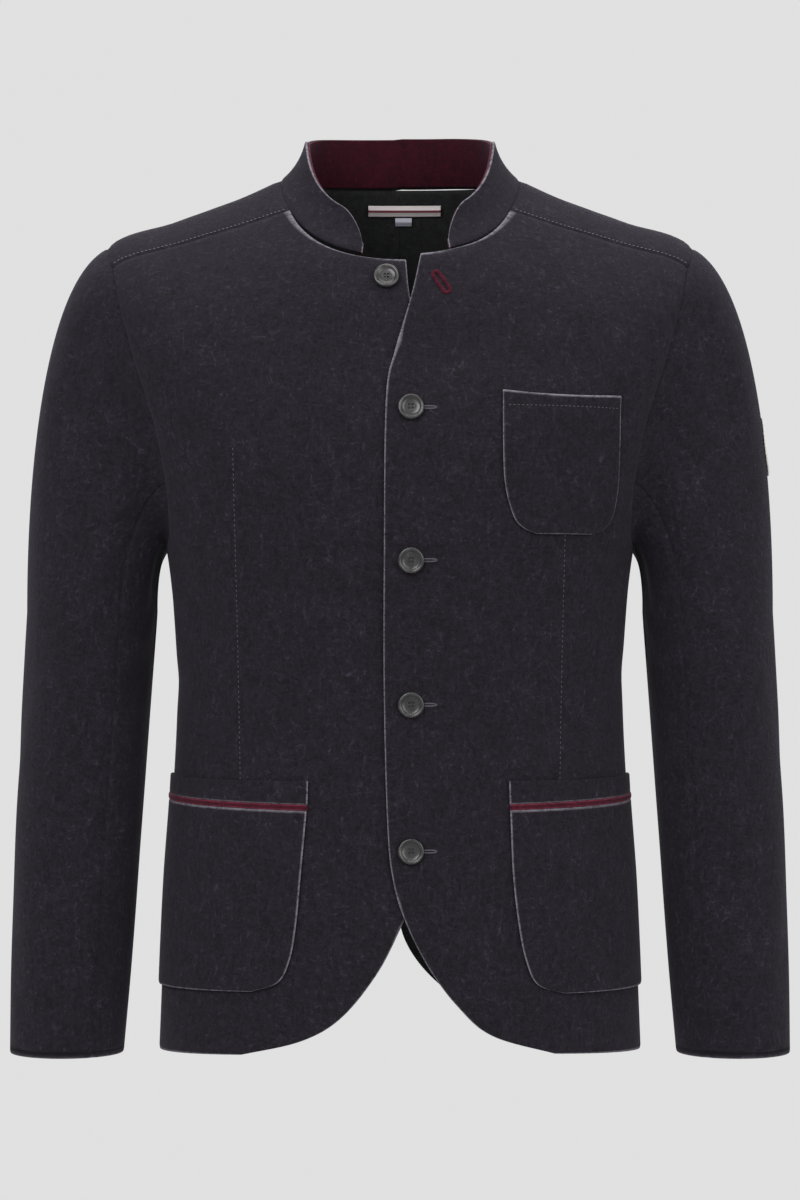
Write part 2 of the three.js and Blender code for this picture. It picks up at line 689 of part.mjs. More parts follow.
/** A flat ring of felt round the slit: its edge squared off at both ends. */
function boundHole() {
  const steps = 20;
  const rows = range(2).map((row) => range(steps).map((step) => {
    const turn = (2 * PI * step) / steps;
    const half = row ? BOUND_HOLE.half : BOUND_HOLE.half - BOUND_HOLE.lip;
    const along = half * signedPower(cos(turn), 0.45);
    const beside = (row ? BOUND_HOLE.side : BOUND_HOLE.slit) * signedPower(sin(turn), 0.6);
    const { around, down } = boundHolePlace(along, beside);
    const cell = { point: bodyPoint(around, down), normal: bodyNormal(around, down) };
    liftRows([[cell]]);
    return cell;
  }));
  return ringWall(rows, BOUND_HOLE.thick, BOUND_HOLE.thick + 0.35);
}

/** A closed wall from two loops of cells, the inner loop first. */
function ringWall(rows, thick, lift) {
  const count = rows[0].length;
  const positions = [];
  for (const depth of [lift, lift - thick]) {
    for (const cell of rows.flat()) {
      positions.push(...cell.point.clone().addScaledVector(cell.normal, depth).toArray());
    }
  }
  const faces = [];
  const corner = (layer, row, step) => (layer * 2 + row) * count + (step % count);
  const quad = (a, b, c, d) => faces.push(a, b, c, a, c, d);
  for (const step of range(count)) {
    quad(corner(0, 0, step), corner(0, 1, step), corner(0, 1, step + 1), corner(0, 0, step + 1));
    quad(corner(1, 0, step + 1), corner(1, 1, step + 1), corner(1, 1, step), corner(1, 0, step));
    quad(corner(0, 1, step), corner(1, 1, step), corner(1, 1, step + 1), corner(0, 1, step + 1));
    quad(corner(1, 0, step), corner(0, 0, step), corner(0, 0, step + 1), corner(1, 0, step + 1));
  }
  return outwardSolid(positions, faces);
}

// ---- inside the neck and on the sleeve

/** A strip of tape inside the back, `down` the form from the neck and level across the middle. */
function backTape({ across, down, half, tall }, behind) {
  const rows = range(3).map((row) => range(9).map((step) => {
    const at = down + (tall * row) / 2;
    const around = backAroundAt(across + mix(-half, half, step / 8), at);
    return { point: bodyPoint(around, at), normal: bodyNormal(around, at) };
  }));
  return clothWall(rows, TAPE, -WOOL - behind);
}

/** The back's around angle whose point lies at x, by halving. */
function backAroundAt(x, down) {
  let [low, high] = [120, 240];
  for (const _ of range(30)) {
    const middle = (low + high) / 2;
    if (bodyPoint(middle, down).x > x) low = middle;
    else high = middle;
  }
  return (low + high) / 2;
}

/** The sleeve's `along` at its outermost line for a height on the cap. */
function alongAtHeight(height) {
  let [low, high] = [0.02, 1];
  for (const _ of range(30)) {
    const middle = (low + high) / 2;
    if (sleevePoint(0, middle).z > height) low = middle;
    else high = middle;
  }
  return (low + high) / 2;
}

function sleeveBadge() {
  const centre = alongAtHeight(BADGE.height);
  const perAlong = sleevePoint(0, centre + 0.01).distanceTo(sleevePoint(0, centre - 0.01)) / 0.02;
  const perTurn = sleevePoint(1, centre).distanceTo(sleevePoint(-1, centre)) / 2;
  const steps = 18;
  const rows = [0.05, 0.5, 1].map((part) => range(steps).map((step) => {
    const angle = (2 * PI * step) / steps;
    const reach = BADGE.radius * part;
    const [turn, along] = [(reach * sin(angle)) / perTurn, centre - (reach * cos(angle)) / perAlong];
    const normal = normalOf(sleevePoint, turn, along, 0.5, 0.004).negate();
    return { point: sleevePoint(turn, along), normal };
  }));
  return discWall(rows, TAPE + 0.3, TAPE + 0.3 + 0.5);
}

/** A closed round wall from loops of cells, the smallest loop closed over its middle. */
function discWall(rows, thick, lift) {
  const count = rows[0].length;
  const positions = [];
  const faces = [];
  for (const depth of [lift, lift - thick]) {
    for (const cell of rows.flat()) {
      positions.push(...cell.point.clone().addScaledVector(cell.normal, depth).toArray());
    }
  }
  const corner = (layer, row, step) => (layer * rows.length + row) * count + (step % count);
  for (const step of range(count)) {
    for (const row of range(rows.length - 1)) {
      for (const layer of [0, 1]) {
        const [a, b] = [corner(layer, row, step), corner(layer, row + 1, step)];
        const [c, d] = [corner(layer, row + 1, step + 1), corner(layer, row, step + 1)];
        if (layer === 0) faces.push(a, b, c, a, c, d);
        else faces.push(a, c, b, a, d, c);
      }
    }
    const rim = rows.length - 1;
    const [a, b] = [corner(0, rim, step), corner(1, rim, step)];
    const [c, d] = [corner(1, rim, step + 1), corner(0, rim, step + 1)];
    faces.push(a, b, c, a, c, d);
  }
  for (const step of range(count - 2)) {
    faces.push(corner(0, 0, 0), corner(0, 0, step + 1), corner(0, 0, step + 2));
    faces.push(corner(1, 0, 0), corner(1, 0, step + 2), corner(1, 0, step + 1));
  }
  return outwardSolid(positions, faces);
}

// ---- buttons

const wasm = await Module();
wasm.setup();

/** A geometry's corners with equal ones joined, so that its faces share them. */
function joined(geometry) {
  const bare = geometry.clone();
  bare.deleteAttribute("normal");
  bare.deleteAttribute("uv");
  return mergeVertices(bare, 1e-4);
}

/** A Three.js geometry as a manifold solid. */
function toSolid(geometry) {
  const merged = joined(geometry);
  return new wasm.Manifold(new wasm.Mesh({
    numProp: 3,
    vertProperties: new Float32Array(merged.getAttribute("position").array),
    triVerts: new Uint32Array(merged.getIndex().array),
  }));
}

/** A manifold solid as a Three.js geometry. */
function toGeometry(solid) {
  const mesh = solid.getMesh();
  return outwardSolid(Array.from(mesh.vertProperties), Array.from(mesh.triVerts));
}

/** A four-hole button with a raised rounded rim and a dished middle, standing on +Z. */
function buttonShape() {
  const profile = [
    { radius: 0, height: 0 }, { radius: 0.82, height: 0 }, { radius: 0.97, height: 0.3 },
    { radius: 1, height: 0.62 }, { radius: 0.94, height: 0.93 }, { radius: 0.85, height: 1 },
    { radius: 0.73, height: 0.86 }, { radius: 0.62, height: 0.6 }, { radius: 0, height: 0.55 },
  ].map((row) => new THREE.Vector2(row.radius * BUTTON_RADIUS, row.height * BUTTON_HEIGHT));
  const lathe = new THREE.LatheGeometry(profile, 20).rotateX(PI / 2);
  let solid = toSolid(outwardSolid(...cornersAndFaces(lathe)));
  for (const quarter of range(4)) {
    const angle = (PI / 2) * quarter + PI / 4;
    const hole = new THREE.CylinderGeometry(BUTTON_HOLE_RADIUS, BUTTON_HOLE_RADIUS, 3 * BUTTON_HEIGHT, 6)
      .rotateX(PI / 2)
      .translate(BUTTON_HOLE_SPREAD * cos(angle), BUTTON_HOLE_SPREAD * sin(angle), 0);
    solid = solid.subtract(toSolid(hole));
  }
  return toGeometry(solid);
}

/** A geometry's merged corners and triangles as plain arrays. */
function cornersAndFaces(geometry) {
  const merged = joined(geometry);
  const index = Array.from(merged.getIndex().array);
  const faces = [];
  for (let i = 0; i < index.length; i += 3) {
    const [a, b, c] = index.slice(i, i + 3);
    if (a !== b && b !== c && c !== a) faces.push(a, b, c);
  }
  return [Array.from(merged.getAttribute("position").array), faces];
}

// ---- the jacket

const group = new THREE.Group();

/** Adds one named piece in a plain material. */
function addPiece(name, geometry, color, roughness = 1) {
  const material = new THREE.MeshStandardMaterial({ color, roughness, metalness: 0 });
  const mesh = new THREE.Mesh(geometry, material);
  mesh.name = name;
  group.add(mesh);
  return mesh;
}

for (const [name, rows] of Object.entries(panels)) {
  addPiece(name, clothWall(rows, WOOL), COLOURS.wool);
}
for (const [name, side] of [["right", -1], ["left", 1]]) {
  addPiece(`sleeve_${name}_top`, sleevePiece(topTurns, side), COLOURS.wool);
  addPiece(`sleeve_${name}_under`, sleevePiece(underTurns, side), COLOURS.wool);
  addPiece(`hip_band_${name}`, hipBand(side), COLOURS.wool);
  addPiece(`hip_piping_${name}`, hipPiping(side), COLOURS.piping);
  addPiece(`hip_pocket_${name}`, hipPocket(side), COLOURS.wool);
}
addPiece("chest_pocket", chestPocket(), COLOURS.wool);
addPiece("collar_outer", collarLayer(0, WOOL, 0, 1), COLOURS.wool);
addPiece("collar_facing", collarLayer(-WOOL - SEAM, FELT, 0.05, 0.99), COLOURS.felt);
addPiece("bound_buttonhole", boundHole(), COLOURS.piping);
addPiece("neck_label", backTape(NECK_LABEL, TAPE_BEHIND), COLOURS.label, 0.8);
addPiece("size_tag", backTape(SIZE_TAG, TAPE_BEHIND), COLOURS.tag, 0.8);
addPiece("sleeve_badge", sleeveBadge(), COLOURS.badge, 0.9);

const button = buttonShape();
const buttonPlaces = [TOP_BUTTON, ...BUTTON_HEIGHTS.map((height) => ({ across: BUTTON_LINE, height }))];
buttonPlaces.forEach((place, index) => {
  const { around, down } = onFront(place);
  const normal = bodyNormal(around, down);
  const mesh = addPiece(`button_${index + 1}`, button, COLOURS.horn, 0.35);
  const stand = index === 0 ? BUTTON_STAND : OVERLAP + BUTTON_STAND;
  mesh.position.copy(bodyPoint(around, down)).addScaledVector(normal, stand);
  mesh.quaternion.setFromUnitVectors(new THREE.Vector3(0, 0, 1), normal);
});

export default group;
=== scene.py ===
"""A man's stand-collar jacket of boiled wool, worn shape with nobody in it. Metres, Z up, front to -Y.

The body's form is a function of two parameters: `around` in degrees from the middle of the front
(0) over the wearer's left side (90) to the middle of the back (180), minus on the wearer's right,
and `down` in metres of drop from the neck to the hem. Every piece is a grid over such parameters.
"""

import bpy
import numpy as np
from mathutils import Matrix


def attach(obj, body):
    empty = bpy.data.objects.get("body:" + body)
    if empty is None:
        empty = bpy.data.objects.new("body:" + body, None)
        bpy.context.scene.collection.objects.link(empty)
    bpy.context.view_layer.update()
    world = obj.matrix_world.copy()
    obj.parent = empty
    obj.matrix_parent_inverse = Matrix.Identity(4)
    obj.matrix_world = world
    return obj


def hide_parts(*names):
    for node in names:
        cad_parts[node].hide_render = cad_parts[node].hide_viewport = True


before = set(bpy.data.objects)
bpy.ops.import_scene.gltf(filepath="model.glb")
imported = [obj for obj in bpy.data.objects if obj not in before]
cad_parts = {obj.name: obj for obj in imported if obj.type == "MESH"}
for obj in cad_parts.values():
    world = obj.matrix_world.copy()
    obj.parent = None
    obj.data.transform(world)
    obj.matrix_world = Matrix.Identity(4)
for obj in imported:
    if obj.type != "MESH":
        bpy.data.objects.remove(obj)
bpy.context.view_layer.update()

MM = 0.001
WOOL = 2.3 * MM  # boiled wool of the body
FELT = 1.5 * MM  # wine-red felt
PATCH = 2.0 * MM  # patch pockets and bands
TAPE = 0.7 * MM  # woven label, size tag and badge
SEAM = 0.3 * MM  # gap between the solids at a seam
PRESSED = 0.12 * MM  # how far sewn edges press into each other, so that no light comes through
LAY = 0.9 * MM  # gap under what lies on a panel
OVERLAP = 3.3 * MM  # how far the left front stands off the form where it laps the right
STITCH = 3.4 * MM  # pitch of the sewing stitches
BUTTON_RADIUS, BUTTON_HEIGHT = 10.3 * MM, 3.6 * MM
HOLE_RADIUS, HOLE_SPREAD = 0.95 * MM, 1.9 * MM
BUTTON_STAND = 0.6 * MM
BUTTON_LINE = 8.6 * MM  # the fastened buttons' distance to the wearer's left of the middle
TOP_BUTTON = (-10.6 * MM, -0.080)  # across and height of the open one
BUTTON_LEVELS = (-0.1855, -0.3038, -0.4168, -0.5313)
HOLE_DEPTH = 1.3 * MM  # of the four wells in a button

# ---- forms: the solids' own, with more folds

# A ring's drop, its heights at front, side and back, its half width, its depths to the front and
# back, how boxy its plan is and how round it is over the shoulder.
BODY_RINGS = np.array([
    (0, -60, 9, 11, 98, 85, 78, 2.4, 0.06),
    (32, -72, -5, -12, 128, 93, 87, 2.4, 0.08),
    (90, -100, -25, -62, 182, 104, 102, 2.5, 0.1),
    (150, -136, -47, -112, 238, 114, 112, 2.7, 0.1),
    (210, -180, -105, -165, 236, 126, 118, 2.8, 0.3),
    (290, -228, -190, -232, 213, 133, 121, 2.7, 0.5),
    (394, -292, -292, -292, 191, 132, 118, 2.5, 0.5),
    (445, -343, -343, -343, 185, 128, 110, 2.4, 0.5),
    (511, -409, -409, -409, 182, 123, 104, 2.4, 0.5),
    (585, -483, -483, -483, 185, 124, 111, 2.4, 0.5),
    (670, -568, -568, -568, 191, 129, 122, 2.4, 0.5),
    (810, -708, -708, -708, 197, 133, 130, 2.4, 0.5),
]) * np.array([MM] * 7 + [1, 1])

# A sleeve ring's height, how far out and forward its centre is, its half width and half depth.
SLEEVE_RINGS = np.array([
    (-345, 252, 0, 53.2, 67),
    (-433, 257.5, 5, 52.5, 62),
    (-532, 262.5, 14, 51, 56),
    (-630, 267, 22, 48.8, 50),
    (-701, 270.2, 27, 46, 45),
]) * MM

# Soft folds, listed one by one: around or turn, down or height, half length, half width, lean, depth.
BODY_FOLDS = np.array([
    (62, 425, 60, 14, 40, -2.2), (-60, 432, 55, 15, -42, -2.4), (74, 505, 45, 16, 75, -2.0),
    (-76, 512, 50, 15, -72, -1.8), (150, 490, 60, 18, 65, -2.2), (-146, 500, 55, 17, -68, -2.4),
    (52, 395, 70, 9, 30, -1.3), (-50, 402, 62, 10, -33, -1.5), (66, 462, 38, 9, 58, -1.2),
    (-68, 470, 42, 8, -55, -1.1), (30, 545, 70, 16, 82, -0.9), (-34, 555, 62, 14, -84, -1.0),
    (122, 452, 52, 11, -48, -1.6), (-126, 446, 48, 12, 50, -1.5), (165, 250, 70, 15, 10, -0.9),
    (-160, 262, 64, 14, -12, -1.0), (140, 330, 60, 12, -25, -1.3), (-138, 322, 66, 11, 28, -1.2),
    (24, 120, 46, 11, 62, -0.9), (-27, 116, 50, 10, -60, -0.8), (44, 240, 60, 13, 15, -1.0),
    (-46, 250, 56, 12, -18, -1.1), (110, 640, 70, 14, 12, -1.3), (-112, 655, 64, 15, -10, -1.4),
])
SLEEVE_FOLDS = np.array([
    (150, -400, 50, 16, 30, -2.6), (60, -455, 55, 20, -35, -2.2), (-130, -480, 50, 18, 25, -2.4),
    (120, -520, 45, 16, 40, -1.8), (100, -370, 52, 11, 24, -1.6), (20, -430, 60, 13, 18, -1.2),
    (-60, -400, 56, 13, -26, -1.6), (-30, -520, 52, 15, 32, -1.3), (75, -560, 48, 12, -30, -1.4),
    (-100, -585, 46, 13, -22, -1.3), (140, -610, 44, 12, 26, -1.3), (30, -620, 52, 13, -16, -1.0),
    (160, -345, 34, 10, 45, -1.8), (-150, -350, 38, 11, -40, -1.7),
])

LEFT_EDGE = np.array([
    (16.4, -62), (8.6, -97), (-3.9, -140), (-11, -179), (-12.5, -304), (-12.5, -413), (-9.7, -514),
    (-5, -556), (4.7, -587), (22.6, -622), (45, -652), (71.7, -675), (122, -691),
]) * MM
RIGHT_EDGE = np.array([
    (4.7, -65), (8, -97), (18, -140), (26, -179), (27, -304), (27, -413), (24, -514), (16, -556),
    (2.3, -587), (-17, -625), (-45, -660), (-76, -679), (-125, -692),
]) * MM
VENT_TOP, VENT_BOTTOM, VENT_REACH = 0.712, 0.801, 33
HEM, FAN_FROM = 0.803, 0.640
SHOULDER_NECK, SHOULDER_ARM = 63, 74
ARMHOLE_TOP, ARMHOLE_BOTTOM = 90, 96
ARMHOLE_DOWN = (0.150, 0.394)
FRONT_HOLLOW, BACK_HOLLOW, ARMHOLE_ROUNDNESS = 31, 27, 0.4
FRONT_SLEEVE_SEAM, BACK_SLEEVE_SEAM = 122, -138
SEAM_TURN = 0.15  # degrees by which the top sleeve laps the under sleeve
# Sleeve cap: how far it runs out from the armhole and down onto the sleeve, over the top and under.
REACH_OVER, REACH_UNDER, RISE_OVER, RISE_UNDER, CAP_HEAD = 50 * MM, 9 * MM, 150, 42, 0.6

COLLAR_RIGHT, COLLAR_LEFT, COLLAR_CORNER = -14, 19.5, 15
COLLAR_LEAN = np.array([  # around, height, lean
    (0, 0.034, 30), (45, 0.037, 38), (90, 0.038, 43), (135, 0.041, 24), (180, 0.042, 12),
])

BAND_TOP, BAND_FRONT, BAND_SIDE, PIPING, BAND_OUTER = 0.579, 0.0185, 0.0145, 0.0042, 93
HIP_BOTTOM = 0.749
HIP_INNER = {-1: -0.072, 1: 0.0855}
HIP_EDGES = {
    -1: np.array([(-73, -503), (-77, -547), (-81, -590), (-86, -617), (-95, -634), (-116, -642)]) * MM,
    1: np.array([(86, -500), (88, -550), (92.5, -590), (98, -617), (107, -636), (128, -644)]) * MM,
}
CHEST_INNER = np.array([(80.3, -171), (80.3, -221), (82, -247), (88, -269), (95, -278), (106, -283)]) * MM
CHEST_OUTER = np.array([(173, -174), (172, -221), (171, -247), (167, -268), (160, -278), (150, -283)]) * MM

BOUND_HOLE = (0.0325, -0.0856)  # across and height of the bound buttonhole's middle
BOUND_SLOPE = -55
NECK_LABEL = (4 * MM, 17 * MM, 31 * MM, 12 * MM)  # across, down, half its width, height
SIZE_TAG = (3 * MM, 30.5 * MM, 7 * MM, 8 * MM)
TAPE_BEHIND = 0.7 * MM  # gap between the back and the tape
BADGE_LEVEL, BADGE_RADIUS = -0.209, 0.024


# ---- small mathematics

def mix(a, b, u):
    """Straight blend from a to b."""
    return a + (b - a) * u


def ease(u):
    """Smooth step from 0 to 1."""
    v = np.clip(u, 0, 1)
    return v * v * (3 - 2 * v)


def signed_power(value, power):
    """|value| to a power with value's sign."""
    return np.sign(value) * np.abs(value) ** power


def look_up(rows, at):
    """Every column of a table at `at` in its first column, by a cubic with its neighbours' slopes."""
    keys, at = rows[:, 0], np.asarray(at, float)
    order = 1 if keys[1] > keys[0] else -1
    low = np.clip(np.searchsorted(order * keys, order * at, side="left") - 1, 0, len(keys) - 2)
    before, after = np.maximum(low - 1, 0), np.minimum(low + 2, len(keys) - 1)
    step = (keys[low + 1] - keys[low])[..., None]
    u = np.clip((at - keys[low])[..., None] / step, 0, 1)
    slope_low = (rows[low + 1] - rows[before]) / (keys[low + 1] - keys[before])[..., None] * step
    slope_high = (rows[after] - rows[low]) / (keys[after] - keys[low])[..., None] * step
    out = ((2 * u**3 - 3 * u**2 + 1) * rows[low] + (u**3 - 2 * u**2 + u) * slope_low
           + (3 * u**2 - 2 * u**3) * rows[low + 1] + (u**3 - u**2) * slope_high)
    return np.moveaxis(out, -1, 0)


def fold_depth(folds, first, second, per_degree):
    """Sum of Gaussians, long along each fold's lean and narrow across it."""
    total = np.zeros(np.broadcast(first, second).shape)
    for place, level, long, wide, lean, depth in folds:
        across, along = (first - place) * per_degree, second - level
        s, c = np.sin(np.radians(lean)), np.cos(np.radians(lean))
        length, width = across * s + along * c, across * c - along * s
        total += depth * np.exp(-(length / long) ** 2 - (width / wide) ** 2)
    return total * MM


def body_point(around, down):
    """A superellipse ring whose height falls from its side to its front and back, plus the folds."""
    around, down = np.broadcast_arrays(np.asarray(around, float), np.asarray(down, float))
    _, z_front, z_side, z_back, half, front, back, square, ridge = look_up(BODY_RINGS, down)
    c, s = np.cos(np.radians(around)), np.sin(np.radians(around))
    fall = (np.sqrt(c * c + ridge**2) - ridge) / (np.sqrt(1 + ridge**2) - ridge)
    wrapped = (around + 180) % 360 - 180
    fold = fold_depth(BODY_FOLDS * [1, -1, 1, 1, 1, 1], wrapped, -down / MM, 2.8)
    return np.stack([
        half * signed_power(s, 2 / square) + fold * s,
        -np.where(c > 0, front, back) * signed_power(c, 2 / square) - fold * c,
        z_side + (np.where(c > 0, z_front, z_back) - z_side) * fall,
    ], -1)


def unit(vectors):
    """Vectors scaled to length one."""
    return vectors / np.maximum(np.linalg.norm(vectors, axis=-1, keepdims=True), 1e-12)


def normal_of(point, a, b, step_a, step_b, turn=1):
    """The unit normal of a surface point(a, b), from small steps both ways."""
    along_a = point(a + step_a, b) - point(a - step_a, b)
    along_b = point(a, b + step_b) - point(a, b - step_b)
    return unit(np.cross(along_b, along_a)) * turn


def body_normal(around, down):
    """The body's outward normal."""
    return normal_of(body_point, np.asarray(around, float), np.maximum(down, MM), 0.4, 0.9 * MM)


def on_front(across, height):
    """Around and down on the front for a distance across and a height, by Newton's steps."""
    across, height = np.broadcast_arrays(np.asarray(across, float), np.asarray(height, float))
    around, down = across / MM * 0.4, np.maximum(-height - 0.010, 0.020)
    for _ in range(40):
        here = body_point(around, down)
        by_around = (body_point(around + 0.1, down) - here) / 0.1
        by_down = (body_point(around, down + 0.1 * MM) - here) / (0.1 * MM)
        x, z = across - here[..., 0], height - here[..., 2]
        scale = by_around[..., 0] * by_down[..., 2] - by_down[..., 0] * by_around[..., 2]
        around = around + np.clip((x * by_down[..., 2] - by_down[..., 0] * z) / scale, -6, 6)
        down = down + np.clip((by_around[..., 0] * z - x * by_around[..., 2]) / scale, -0.04, 0.04)
        around, down = np.clip(around, -89, 89), np.clip(down, 0, 0.805)
    return np.stack([around, down], -1)


def smooth_curve(knots, count):
    """A Catmull-Rom curve through knots, evenly spaced by length."""
    knots = np.asarray(knots, float)
    padded = np.vstack([2 * knots[0] - knots[1], knots, 2 * knots[-1] - knots[-2]])
    u = np.linspace(0, len(knots) - 1 - 1e-9, 40 * len(knots))
    i, f = u.astype(int), (u % 1)[:, None]
    p0, p1, p2, p3 = padded[i], padded[i + 1], padded[i + 2], padded[i + 3]
    dense = 0.5 * (2 * p1 + (p2 - p0) * f + (2 * p0 - 5 * p1 + 4 * p2 - p3) * f**2
                   + (3 * p1 - p0 - 3 * p2 + p3) * f**3)
    return even(dense, dense, count)


def even(points, values, count):
    """`values` along a path, `count` of them evenly spaced by the path's own length."""
    lengths = np.concatenate([[0], np.cumsum(np.linalg.norm(np.diff(points, axis=0), axis=-1))])
    at = np.linspace(0, lengths[-1], count)
    return np.stack([np.interp(at, lengths, column) for column in np.asarray(values).T], -1)


def even_places(places, count):
    """Places on the body evenly spaced by length on its form."""
    return even(body_point(places[:, 0], places[:, 1]), places, count)


def at_down(places, down):
    """The places where a list running downwards reaches `down`."""
    return np.stack([np.interp(down, places[:, 1], places[:, 0]), down], -1)


# ---- meshes

def grid_faces(height, width, start=0, flip=False):
    """Quads of a height by width grid of vertices."""
    index = start + np.arange(height * width).reshape(height, width)
    quads = np.stack([index[:-1, :-1], index[1:, :-1], index[1:, 1:], index[:-1, 1:]], -1).reshape(-1, 4)
    return quads[:, ::-1] if flip else quads


def tube_faces(rings, sides, start=0):
    """Quads of a tube open at both ends, its rings one after another."""
    index = start + np.arange(rings * sides).reshape(rings, sides)
    after = np.roll(index, -1, 1)
    return np.stack([index[:-1], index[1:], after[1:], after[:-1]], -1).reshape(-1, 4)


def make_piece(name, vertices, faces, materials, face_slots=None, attributes=None):
    """One mesh object at the origin from whole arrays, smooth shaded, with its point attributes."""
    mesh = bpy.data.meshes.new(name + "_made")
    vertices, faces = np.asarray(vertices, float), np.asarray(faces)
    mesh.vertices.add(len(vertices))
    mesh.vertices.foreach_set("co", vertices.ravel())
    mesh.loops.add(faces.size)
    mesh.loops.foreach_set("vertex_index", faces.ravel())
    mesh.polygons.add(len(faces))
    mesh.polygons.foreach_set("loop_start", np.arange(len(faces)) * faces.shape[1])
    if face_slots is not None:
        mesh.polygons.foreach_set("material_index", np.asarray(face_slots, np.int32))
    mesh.polygons.foreach_set("use_smooth", np.ones(len(faces), bool))
    mesh.update(calc_edges=True)
    for key, values in (attributes or {}).items():
        mesh.attributes.new(key, "FLOAT", "POINT").data.foreach_set("value", np.asarray(values, np.float32))
    for material in materials:
        mesh.materials.append(material)
    mesh.validate()
    piece = bpy.data.objects.new(name + "_made", mesh)
    bpy.context.scene.collection.objects.link(piece)
    return piece


def cloth_piece(name, points, normals, thick, materials, lift=0.0, raw=(), round_edge=0.5 * MM, seam=()):
    """A closed wall: outer grid = points + lift * normal, inner grid = outer - thick * normal, joined
    round the rim. `raw` names the cut edges (top, foot, first, last), which are rounded and carry
    loose pale fibres; `seam` names the sewn ones, where the outer face dips softly into the seam."""
    height, width = points.shape[:2]
    far = edge_distances(points)
    edge_pale, dip = np.zeros((height, width)), np.zeros((height, width))
    for side in raw:
        edge_pale = np.maximum(edge_pale, np.exp(-(far[side] / (0.55 * MM)) ** 2))
        dip += round_edge * np.exp(-far[side] / (0.7 * MM))
    for side in seam:
        dip += 0.9 * MM * np.exp(-(far[side] / (2.2 * MM)) ** 2)
    outer = points + normals * (lift - np.minimum(dip, 0.45 * thick))[..., None]
    inner = points + normals * (lift - thick)
    size = height * width
    rim = rim_faces(height, width, size)
    faces = np.vstack([grid_faces(height, width), grid_faces(height, width, size, flip=True), rim])
    slots = np.concatenate([np.zeros((height - 1) * (width - 1)), np.ones((height - 1) * (width - 1)),
                            np.full(len(rim), 2)]).astype(int)
    slots = np.minimum(slots, len(materials) - 1)
    vertices = np.vstack([outer.reshape(-1, 3), inner.reshape(-1, 3)])
    faces, vertices = face_out(vertices, faces)
    pale = np.concatenate([edge_pale.ravel(), np.where(edge_pale.ravel() > 0.6, 0.4, 0)])
    return make_piece(name, vertices, faces, materials, slots, {"raw": pale})


def edge_distances(points):
    """Each grid point's distance along the grid from its four edges."""
    across = np.linalg.norm(np.diff(points, axis=1), axis=-1)
    along = np.linalg.norm(np.diff(points, axis=0), axis=-1)
    first = np.pad(np.cumsum(across, 1), ((0, 0), (1, 0)))
    top = np.pad(np.cumsum(along, 0), ((1, 0), (0, 0)))
    return {"first": first, "last": first[:, -1:] - first, "top": top, "foot": top[-1:] - top}


def rim_faces(height, width, size):
    """Quads joining the outer and inner grids round their rim."""
    index = np.arange(size).reshape(height, width)
    loop = np.concatenate([index[0, :-1], index[:-1, -1], index[-1, :0:-1], index[:0:-1, 0]])
    after = np.roll(loop, -1)
    return np.stack([loop, after, after + size, loop + size], -1)


def face_out(vertices, faces):
    """Faces turned so that the closed mesh's volume is positive."""
    a, b, c, d = (vertices[faces[:, k]] for k in range(4))
    volume = np.einsum("ij,ij->", a, np.cross(b, c)) + np.einsum("ij,ij->", a, np.cross(c, d))
    return (faces if volume > 0 else faces[:, ::-1]), vertices


def fine_ends(count, near=5, span=0.006, total=0.3):
    """Steps 0 to 1 with close ones by both ends, where edges and seams need them."""
    close = span / total * (np.arange(near) / near) ** 1.3
    return np.concatenate([close, np.linspace(close[-1], 1 - close[-1], count)[1:-1], 1 - close[::-1]])


# ---- materials

def linear(code):
    """An sRGB hex colour as linear RGBA."""
    srgb = np.array([int(code[k:k + 2], 16) for k in (1, 3, 5)]) / 255
    return (*np.where(srgb <= 0.04045, srgb / 12.92, ((srgb + 0.055) / 1.055) ** 2.4), 1.0)


def node(tree, kind, settings=None, links=None):
    """Adds a node, sets its properties and input values, and links sockets into it."""
    made = tree.nodes.new(kind)
    for key, value in (settings or {}).items():
        if isinstance(key, str) and hasattr(made, key):
            setattr(made, key, value)
        else:
            made.inputs[key].default_value = value
    for key, socket in (links or {}).items():
        tree.links.new(socket, made.inputs[key])
    return made


def new_material(name):
    """An empty node material with its output and a Principled shader."""
    material = bpy.data.materials.new(name)
    material.use_nodes = True
    tree = material.node_tree
    tree.nodes.clear()
    shader = node(tree, "ShaderNodeBsdfPrincipled")
    node(tree, "ShaderNodeOutputMaterial", links={"Surface": shader.outputs[0]})
    return material, tree, shader


def ramp(tree, factor, stops):
    """A colour ramp from (position, hex) stops."""
    made = node(tree, "ShaderNodeValToRGB", links={0: factor})
    elements = made.color_ramp.elements
    while len(elements) < len(stops):
        elements.new(0.5)
    for element, (position, code) in zip(elements, stops):
        element.position, element.color = position, linear(code)
    return made.outputs[0]


def per_metre(size_mm):
    """Noise scale for a feature of about this size in millimetres."""
    return 1000.0 / size_mm


